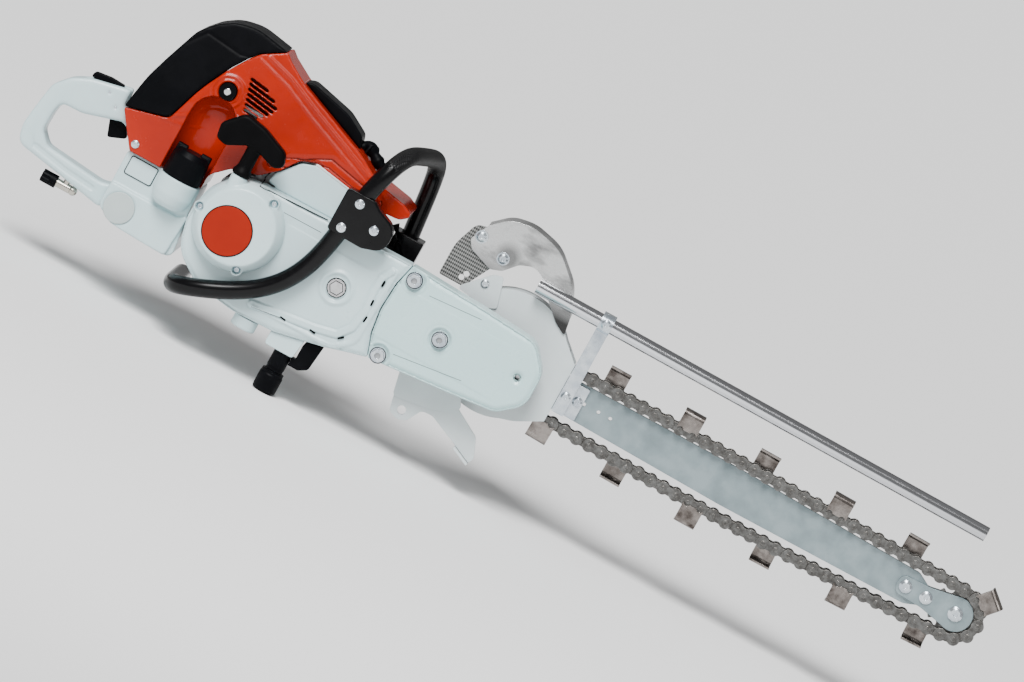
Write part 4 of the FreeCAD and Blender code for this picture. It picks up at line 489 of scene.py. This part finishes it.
def facing_edge_distance(p, n, reach):
    """For each point of the right-hand face, its distance in the side view to where that face turns away."""
    front = n[:, 1] < -0.85
    rim = np.flatnonzero((n[:, 1] > -0.6) & (n[:, 1] < -0.1))
    tree = KDTree(len(rim))
    for index, vertex in enumerate(rim):
        tree.insert((p[vertex, 0], 0.0, p[vertex, 2]), index)
    tree.balance()
    distance = np.full(len(p), reach)
    for vertex in np.flatnonzero(front):
        distance[vertex] = min(reach, tree.find((p[vertex, 0], 0.0, p[vertex, 2]))[2])
    return distance


def pillow(p, n, reach, depth):
    """Face that falls away towards its rim."""
    return depth * (1.0 - step(facing_edge_distance(p, n, reach), 0.0, reach)) * step(-n[:, 1], 0.5, 0.8)


HOOD_LINES = (
    ([(-470, 212), (-430, 201), (-380, 179), (-300, 147), (-245, 124)], 3.6, 1.2),
    ([(-478, 204), (-430, 190), (-380, 168), (-300, 137), (-250, 117)], 2.6, 0.8),
    ([(-585, 68), (-556, 76), (-528, 92), (-510, 112), (-490, 121), (-462, 122), (-436, 116)], 4.0, 1.2),
    ([(-560, 72), (-522, 78), (-500, 84)], 2.6, 0.7),
)


def sculpt_shroud(p, n):
    """Beads along the hood, a raised collar about the valve and a hollow flank behind the handle."""
    x = p[:, 0]
    z = p[:, 2]
    side = step(np.abs(n[:, 1]), 0.5, 0.8)
    outer = step(np.abs(p[:, 1]), 30.0, 36.0)
    amount = np.zeros(len(p))
    for points, width, height in HOOD_LINES:
        amount += height * ridge(near_line(x, z, points), width)
    amount += 1.6 * ridge(np.abs(np.hypot(x - VALVE[0], z - VALVE[1]) - 21.0), 3.5)
    flank = step(near_line(x, z, [(-400, 92), (-330, 128), (-250, 112)]), 14.0, 2.0)
    amount -= 2.0 * flank
    return sideways(amount * side * outer, n)


def sculpt_filter(p, n):
    """Line across the filter cover, where its side turns into its top."""
    x = p[:, 0]
    z = p[:, 2]
    side = step(np.abs(n[:, 1]), 0.5, 0.8)
    line = ridge(near_line(x, z, [(-596, 128), (-578, 172), (-556, 201), (-505, 196), (-470, 205)]), 3.0)
    return sideways(-1.1 * line * side, n)


CHANNEL = [(-331.8, -82.1), (-287.0, -76.0), (-243.7, -70.6), (-213.0, -63.5), (-199.0, -46.0),
           (-194.4, -18.5), (-197.5, 11.7), (-196.5, 32.7), (-188.8, 46.0)]
CHANNEL_SLOTS = ((-326.0, -83.5, -8.0), (-285.7, -79.5, -8.0), (-243.1, -75.5, -8.0), (-206.0, -64.5, 38.0),
                 (-189.5, -27.0, 84.0), (-192.0, -3.4, 92.0), (-191.0, 26.0, 88.0))


def sculpt_housing(p, n):
    """Rounded rim, a raised channel along the lower and front rim, and a dish about the tensioner."""
    x = p[:, 0]
    z = p[:, 2]
    face = step(-n[:, 1], 0.6, 0.9)
    channel = near_line(x, z, CHANNEL)
    tensioner = np.hypot(x - TENSIONER[0], z - TENSIONER[1])
    push = np.zeros_like(n)
    raised = 2.0 * (1.0 - step(channel, 3.6, 5.4)) - 0.8 * ridge(np.abs(channel - 6.2), 1.6)
    dish = 1.1 * ridge(np.abs(tensioner - 21.0), 2.6) - 0.9 * (1.0 - step(tensioner, 17.5, 19.5))
    shoulder = 0.8 * step(z, 33.0, 35.0) * step(x, -345.0, -335.0)
    push[:, 1] = -(raised + dish - shoulder) * face + pillow(p, n, 7.0, 2.2)
    return push


def sculpt_guard(p, n):
    """Rounded shoulder all round, two faint steps along the face, and a ringed dish about each nut."""
    x = p[:, 0]
    z = p[:, 2]
    face = step(-n[:, 1], 0.6, 0.9)
    fade = step(x, 30.0, -20.0)
    away = np.min([np.hypot(x - a, z - b) for a, b in NUT_PLACES], axis=0)
    steps = (step(z, 34.0, 36.5) + step(z, -39.0, -41.5)) * fade * step(away, 16.0, 22.0)
    rings = 1.2 * ridge(np.abs(away - 17.0), 2.6) - 0.8 * (1.0 - step(away, 13.5, 15.5))
    push = np.zeros_like(n)
    push[:, 1] = 0.7 * steps * face - rings * face + pillow(p, n, 8.0, 3.0) * step(away, 14.0, 20.0)
    return push


def sculpt_handle(p, n):
    """Palm swell and a web between the two struts of the rear handle."""
    push = n * 0.9
    flat = step(np.abs(n[:, 1]), 0.8, 0.95)
    groove = step(near_line(p[:, 0], p[:, 2], [(-690, -47), (-640, -56), (-596, -60)]), 4.5, 2.5)
    push[:, 1] -= 1.6 * groove * flat * np.sign(n[:, 1])
    return push


def cover_pieces():
    """Mouldings and castings with melted corners."""
    softened("shroud", "hood_shell", 1.25, 5, sculpt_shroud, 0.6)
    softened("filter_cover", "filter_cover_shell", 1.6, 14, sculpt_filter)
    softened("tank_housing", "tank_shell", 1.6, 8)
    softened("rear_handle", "rear_handle_shell", 1.4, 34, sculpt_handle)
    softened("belt_housing", "belt_housing_shell", 1.2, 4, sculpt_housing, 0.6)
    softened("belt_guard", "belt_guard_shell", 1.2, 4, sculpt_guard, 0.6)
    softened("starter_cover", "starter_dome", 1.2, 8)
    softened("fan_cover", "fan_dome", 1.4, 5)
    softened("starter_grip", "pull_grip", 1.2, 16, lambda p, n: n * 0.5)
    softened("fuel_cap", "filler_cap", 1.0, 5)
    softened("plug_cover", "plug_lid", 1.4, 10)
    softened("side_panel", "panel_shell", 1.2, 4)
    softened("handle_brackets", "clamp_castings", 1.3, 6)
    softened("throttle_trigger", "trigger_blade", 0.8, 6)
    softened("throttle_lockout", "lockout_lever", 0.8, 6)


# ================= small pieces =================

def tube_mesh(name, points, radii, sides=20):
    """Smooth tube through points; radii give its outline along the way."""
    centres = [Vector(point) for point in points]
    vertices = []
    faces = []
    across = (centres[1] - centres[0]).cross(Vector((0.31, 1.0, 0.17)))
    for index, centre in enumerate(centres):
        ahead = (centres[min(index + 1, len(centres) - 1)] - centres[max(index - 1, 0)]).normalized()
        across = (across - ahead * across.dot(ahead)).normalized()
        third = ahead.cross(across)
        for turn in range(sides):
            angle = 2.0 * math.pi * turn / sides
            vertices.append(centre + (across * math.cos(angle) + third * math.sin(angle)) * radii[index])
    for ring in range(len(centres) - 1):
        for turn in range(sides):
            nearby = (turn + 1) % sides
            faces.append((ring * sides + turn, ring * sides + nearby, (ring + 1) * sides + nearby,
                          (ring + 1) * sides + turn))
    faces.append(tuple(range(sides)))
    last = (len(centres) - 1) * sides
    faces.append(tuple(reversed(range(last, last + sides))))
    mesh = bpy.data.meshes.new(name)
    mesh.from_pydata([tuple(v) for v in vertices], [], faces)
    mesh.polygons.foreach_set("use_smooth", [True] * len(mesh.polygons))
    return mesh


def curve_through(points, count):
    """Points evenly along a smooth curve through a few places."""
    knots = np.array(points, dtype=float)
    ends = np.vstack([2 * knots[0] - knots[1], knots, 2 * knots[-1] - knots[-2]])
    places = []
    for t in np.linspace(0, len(knots) - 1 - 1e-6, count):
        i = int(t)
        f = t - i
        a, b, c, d = ends[i:i + 4]
        places.append(0.5 * (2 * b + (c - a) * f + (2 * a - 5 * b + 4 * c - d) * f ** 2
                             + (3 * b - a - 3 * c + d) * f ** 3))
    return [at(*place) for place in places]


def plate_mesh(name, outline, y_front, y_back, bevel=0.4):
    """Plate of a side-view outline with rounded edges, in millimetres."""
    count = len(outline)
    vertices = [at(x, y, z) for y in (y_front, y_back) for x, z in outline]
    faces = [tuple(range(count)), tuple(reversed(range(count, 2 * count)))]
    faces += [(i, count + i, count + (i + 1) % count, (i + 1) % count) for i in range(count)]
    mesh = bpy.data.meshes.new(name)
    mesh.from_pydata([tuple(v) for v in vertices], [], faces)
    helper = bpy.data.objects.new(name, mesh)
    bpy.context.scene.collection.objects.link(helper)
    rounding = helper.modifiers.new("round", "BEVEL")
    rounding.width = bevel * MM
    rounding.segments = 3
    rounding.limit_method = "ANGLE"
    rounded = applied(helper)
    bpy.data.objects.remove(helper)
    return rounded


def rounded_rectangle(x0, x1, z0, z1, radius):
    """Outline with quarter-round corners."""
    outline = []
    for cx, cz, start in ((x1 - radius, z1 - radius, 0), (x0 + radius, z1 - radius, 90),
                          (x0 + radius, z0 + radius, 180), (x1 - radius, z0 + radius, 270)):
        for part in range(5):
            angle = math.radians(start + part * 22.5)
            outline.append((cx + radius * math.cos(angle), cz + radius * math.sin(angle)))
    return outline


def circle(x, z, radius, count=48):
    """Round outline."""
    return [(x + radius * math.cos(2 * math.pi * i / count), z + radius * math.sin(2 * math.pi * i / count))
            for i in range(count)]


def merged(name, meshes):
    """Several meshes as one."""
    vertices = []
    faces = []
    for mesh in meshes:
        base = len(vertices)
        vertices += [tuple(v.co) for v in mesh.vertices]
        faces += [tuple(base + i for i in polygon.vertices) for polygon in mesh.polygons]
    whole = bpy.data.meshes.new(name)
    whole.from_pydata(vertices, [], faces)
    return whole


def badges():
    """Blank round badge with a dark rim, and the blank plate beside the tank with a dark border."""
    rim = plate_mesh("badge_rim", circle(*BADGE, 34.6), -118.9, -117.6)
    disc = plate_mesh("badge_disc", circle(*BADGE, 33.2), -119.4, -117.6, 0.5)
    new_piece("badge_rim", rim, "housing", "black_plastic")
    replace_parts(new_piece("badge_disc", disc, "housing", "badge"), "blank_badges")
    x0 = (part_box("blank_badges")[0][0] - SPINDLE.x) / MM
    edge = rounded_rectangle(x0, x0 + 41, -17, 10, 3.5)
    inner = rounded_rectangle(x0 + 1.2, x0 + 39.8, -15.8, 8.8, 2.6)
    border = plate_mesh("plate_border", edge, -54.9, -54.2, 0.15)
    face = plate_mesh("plate_face", inner, -55.1, -54.2, 0.1)
    new_piece("plate_border", border, "housing", "black_plastic")
    new_piece("plate_face", face, "housing", "body_white")


def channel_slots():
    """Dark slots along the raised channel of the belt housing."""
    meshes = []
    for x, z, lean in CHANNEL_SLOTS:
        slope = math.radians(lean)
        outline = [(x + a * math.cos(slope) - b * math.sin(slope),
                    z + a * math.sin(slope) + b * math.cos(slope))
                   for a, b in rounded_rectangle(-4.5, 4.5, -1.3, 1.3, 1.0)]
        meshes.append(plate_mesh("slot", outline, -92.2, -89.0, 0.2))
    new_piece("channel_slots", merged("channel_slots", meshes), "housing", "black_plastic")


def tensioner_ring():
    """Dark ring about the hexagon of the tensioner."""
    radius = 12.6
    width = 0.9
    places = []
    for turn in range(49):
        angle = 2 * math.pi * turn / 48
        places.append(at(TENSIONER[0] + radius * math.cos(angle), -89.9,
                         TENSIONER[1] + radius * math.sin(angle)))
    ring = tube_mesh("ring", places, [width * MM] * len(places), 8)
    new_piece("tensioner_ring", merged("tensioner_ring", [ring]), "housing", "black_plastic")


def hood_hose():
    """Black hose with its clip, lying on the hood in front of the lid."""
    hose = curve_through([(-309, 8, 158), (-300, 8, 166), (-288, 6, 161), (-278, 4, 154), (-268, 3, 148),
                          (-261, 2, 134)], 40)
    radii = [(8.4 + 1.3 * math.cos(i * 0.55)) * MM for i in range(len(hose))]
    new_piece("hood_hose", tube_mesh("hood_hose", hose, radii), "housing", "black_plastic")
    clip = curve_through([(-300, -6, 152), (-296, -3, 167), (-290, 6, 171), (-285, 15, 166),
                          (-284, 18, 150)], 24)
    wire = tube_mesh("hose_clip", clip, [1.7 * MM] * len(clip), 10)
    new_piece("hose_clip", wire, "housing", "black_plastic")


def handle_lever():
    """Small black lever and its knuckle at the foot of the left leg."""
    arm = curve_through([(-219, 38, 88), (-211, 38, 80), (-204, 38, 74), (-205, 38, 66), (-197, 38, 57),
                         (-188, 38, 50)], 36)
    radii = [(5.2 - 2.0 * math.sin(i / 35 * math.pi) + 1.4 * math.cos(i * 0.5)) * MM
             for i in range(len(arm))]
    new_piece("handle_lever", tube_mesh("handle_lever", arm, radii), "housing", "black_plastic")


TUBE_STEP = 4.0         # millimetres between points of the handle's line
TUBE_SMOOTHINGS = 110   # rounds in which each point moves towards its neighbours


def front_tube():
    """Front handle as one smoothly bent tube, along the CAD tube's own line."""
    radius = 12.5
    y = (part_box("front_handle")[0][1] - SPINDLE.y) / MM + radius
    corners = np.array([(-440, 52, -112), (-440, y, -112), (-362, y, -80), (-318, y, -52),
                        (-287, y, -6), (-277, y, 48), (-266, y, 130), (-246, y + 6, 192),
                        (-206, 80, 192), (-193, 82, 64)], float)
    line = [corners[0]]
    for first, last in zip(corners[:-1], corners[1:]):
        count = int(np.linalg.norm(last - first) / TUBE_STEP)
        line += [first + (last - first) * (i + 1) / count for i in range(count)]
    line = np.array(line)
    for _ in range(TUBE_SMOOTHINGS):
        line[1:-1] += 0.25 * (line[:-2] + line[2:] - 2.0 * line[1:-1])
    mesh = tube_mesh("front_tube", [at(*place) for place in line], [radius * MM] * len(line), 32)
    material = frame["nodes"]["front_handle"].data.materials[0]
    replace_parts(new_piece("front_tube", mesh, "housing", SLOTS["front_handle"], material), "front_handle")


def pull_rope():
    """Rope between reel and grip, hidden in the grip's stem at rest."""
    low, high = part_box("starter_rope")
    length = 12.0 * MM
    radius = 1.95 * MM
    x = low[0] + 2.0 * MM
    y = 0.5 * (low[1] + high[1])
    foot = Vector((x, y, high[2] - length))
    head = Vector((x, y, high[2]))
    points = [foot.lerp(head, i / 60.0) for i in range(61)]
    rope = bpy.data.objects.new("pull_rope", tube_mesh("pull_rope", points, [radius] * len(points), 12))
    bpy.context.scene.collection.objects.link(rope)
    rope.data.materials.append(MATERIALS["rope"])
    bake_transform(rope)


def plug_lid_screw():
    """Small bright slotted screw near the rear of the lid."""
    top = curve_through([(-392, -14, 196), (-390.6, -14, 203.6), (-390.2, -14, 204.6)], 8)
    radii = [v * MM for v in (3.0, 3.4, 3.4, 3.4, 3.3, 3.0, 2.4, 1.2)]
    new_piece("lid_screw", tube_mesh("lid_screw", top, radii, 16), "housing", "bright_chrome")


def hood_label():
    """Blank pale plate on top of the hood, between filter cover and lid."""
    outline = [(-441, 218.5), (-440.4, 219.4), (-412.4, 204.0), (-413, 203.0)]
    new_piece("hood_label", plate_mesh("hood_label", outline, -27.0, 27.0, 0.25), "housing", "mount_rubber")


BESIDE = -400.0      # well clear of the machine's right side


def on_surface(x, z):
    """Foremost point of the machine's right side at a place of the side view, in millimetres."""
    graph = bpy.context.evaluated_depsgraph_get()
    start = at(x, BESIDE, z)
    hit, place = bpy.context.scene.ray_cast(graph, start, Vector((0.0, 1.0, 0.0)))[:2]
    return tuple((place - SPINDLE) / MM) if hit else (x, 0.0, z)


def drawn_line(outline, width):
    """Thin raised line that follows the surface along a line of the side view, used for painted shade lines."""
    points = []
    for (x0, z0), (x1, z1) in zip(outline[:-1], outline[1:]):
        count = max(2, int(math.hypot(x1 - x0, z1 - z0) / 3.0))
        points += [on_surface(x0 + (x1 - x0) * i / count, z0 + (z1 - z0) * i / count) for i in range(count)]
    points.append(on_surface(*outline[-1]))
    return tube_mesh("line", [at(*point) for point in points], [width * MM] * len(points), 8)


# painted shade: black lines where gaps, seams and steps lie in shade
SHADE_LINES = (([(-396, 61), (-388, 60.5), (-296, 64)], 0.9), ([(-396, 61), (-399, 67), (-396, 76)], 0.8),
         ([(-352, 45), (-296, 45.5)], 0.35), ([(-330, -86), (-287, -80)], 0.35),
         ([(-135, -50), (-39, -37)], 0.3), ([(-130, 41.6), (-54, 47.5)], 0.3))


def dark_lines():
    """Painted shade as thin black lines: the shaded gap under the side panel, fine shaded seams and steps, the
    shadow gap round each nut of the guard, and the shaded rim of the tensioner's hexagon.
    """
    meshes = [drawn_line(outline, width) for outline, width in SHADE_LINES]
    meshes += [drawn_line(circle(x, z, 10.6, 24) + [(x + 10.6, z)], 0.7) for x, z in NUT_PLACES]
    # painted shade along the rim of the tensioner's hexagon recess
    hexagon = circle(*TENSIONER, 9.8, 6)
    meshes.append(drawn_line(hexagon + [hexagon[0]], 0.6))
    new_piece("dark_lines", merged("dark_lines", meshes), "housing", "black_plastic")


def small_pieces():
    """Everything that is modelled for the looks alone."""
    badges()
    channel_slots()
    tensioner_ring()
    hood_hose()
    handle_lever()
    front_tube()
    pull_rope()
    plug_lid_screw()
    hood_label()
    dark_lines()


cover_pieces()
small_pieces()


# ================= light, floor and camera =================

FLOOR_HALF = 60.0    # metres
WORLD_LIGHT = 0.30
SUN_POWER = 5.2
SUN_SPREAD = 28.0    # degrees
LAMPS = (("softbox", (-0.5, -1.9, 1.3), 0.9, 14.0), ("side", (1.7, -1.2, 0.9), 0.8, 8.0))


def studio():
    """Pale floor, one broad soft light from above and gentle light all round."""
    low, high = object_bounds()
    floor_mesh = bpy.data.meshes.new("floor")
    corners = [(x * FLOOR_HALF, y * FLOOR_HALF, low[2]) for x, y in ((-1, -1), (1, -1), (1, 1), (-1, 1))]
    floor_mesh.from_pydata(corners, [], [(0, 1, 2, 3)])
    floor = bpy.data.objects.new("floor", floor_mesh)
    bpy.context.scene.collection.objects.link(floor)
    paint = Shader("floor_paint")
    paint.skin.inputs["Base Color"].default_value = (0.9, 0.9, 0.9, 1.0)
    paint.skin.inputs["Roughness"].default_value = 0.95
    paint.skin.inputs["Specular IOR Level"].default_value = 0.1
    floor_mesh.materials.append(paint.material)
    floor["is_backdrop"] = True

    world = bpy.data.worlds.new("studio")
    bpy.context.scene.world = world
    world.use_nodes = True
    world.node_tree.nodes["Background"].inputs["Color"].default_value = (1.0, 1.0, 1.0, 1.0)
    world.node_tree.nodes["Background"].inputs["Strength"].default_value = WORLD_LIGHT

    middle = (Vector(low) + Vector(high)) * 0.5
    sun_data = bpy.data.lights.new("sky_light", "SUN")
    sun_data.energy = SUN_POWER
    sun_data.angle = math.radians(SUN_SPREAD)
    sun = bpy.data.objects.new("sky_light", sun_data)
    towards = Vector((-0.35, -0.8, 1.0))
    sun.location = middle + towards * 3.0
    sun.rotation_euler = (-towards).to_track_quat("-Z", "Y").to_euler()
    bpy.context.scene.collection.objects.link(sun)
    for name, offset, size, power in LAMPS:
        light = bpy.data.lights.new(name, "AREA")
        light.size = size
        light.energy = power
        lamp = bpy.data.objects.new(name, light)
        lamp.location = middle + Vector(offset)
        lamp.rotation_euler = (-Vector(offset)).to_track_quat("-Z", "Y").to_euler()
        bpy.context.scene.collection.objects.link(lamp)


AZIMUTH = 0.0        # degrees round towards the front
ELEVATION = 7.0
ROLL = 29.0          # the bar points down to the right
DISTANCE = 8.0
VIEW_WIDTH = 1.3605  # metres across the picture at the target
TARGET = at(-5.5, -60.0, 38.8)


def camera():
    """Camera on the machine's right side, rolled so that the bar slopes down."""
    data = bpy.data.cameras.new("camera")
    data.sensor_width = 36.0
    data.lens = 36.0 * DISTANCE / VIEW_WIDTH
    eye = bpy.data.objects.new("camera", data)
    bpy.context.scene.collection.objects.link(eye)
    azimuth = math.radians(AZIMUTH)
    elevation = math.radians(ELEVATION)
    look = Vector((-math.sin(azimuth) * math.cos(elevation), math.cos(azimuth) * math.cos(elevation),
                   -math.sin(elevation)))
    eye.location = TARGET - look * DISTANCE
    level = look.to_track_quat("-Z", "Y").to_matrix()
    eye.rotation_euler = (level @ Matrix.Rotation(math.radians(ROLL), 3, "Z")).to_euler()
    bpy.context.scene.camera = eye


studio()
camera()
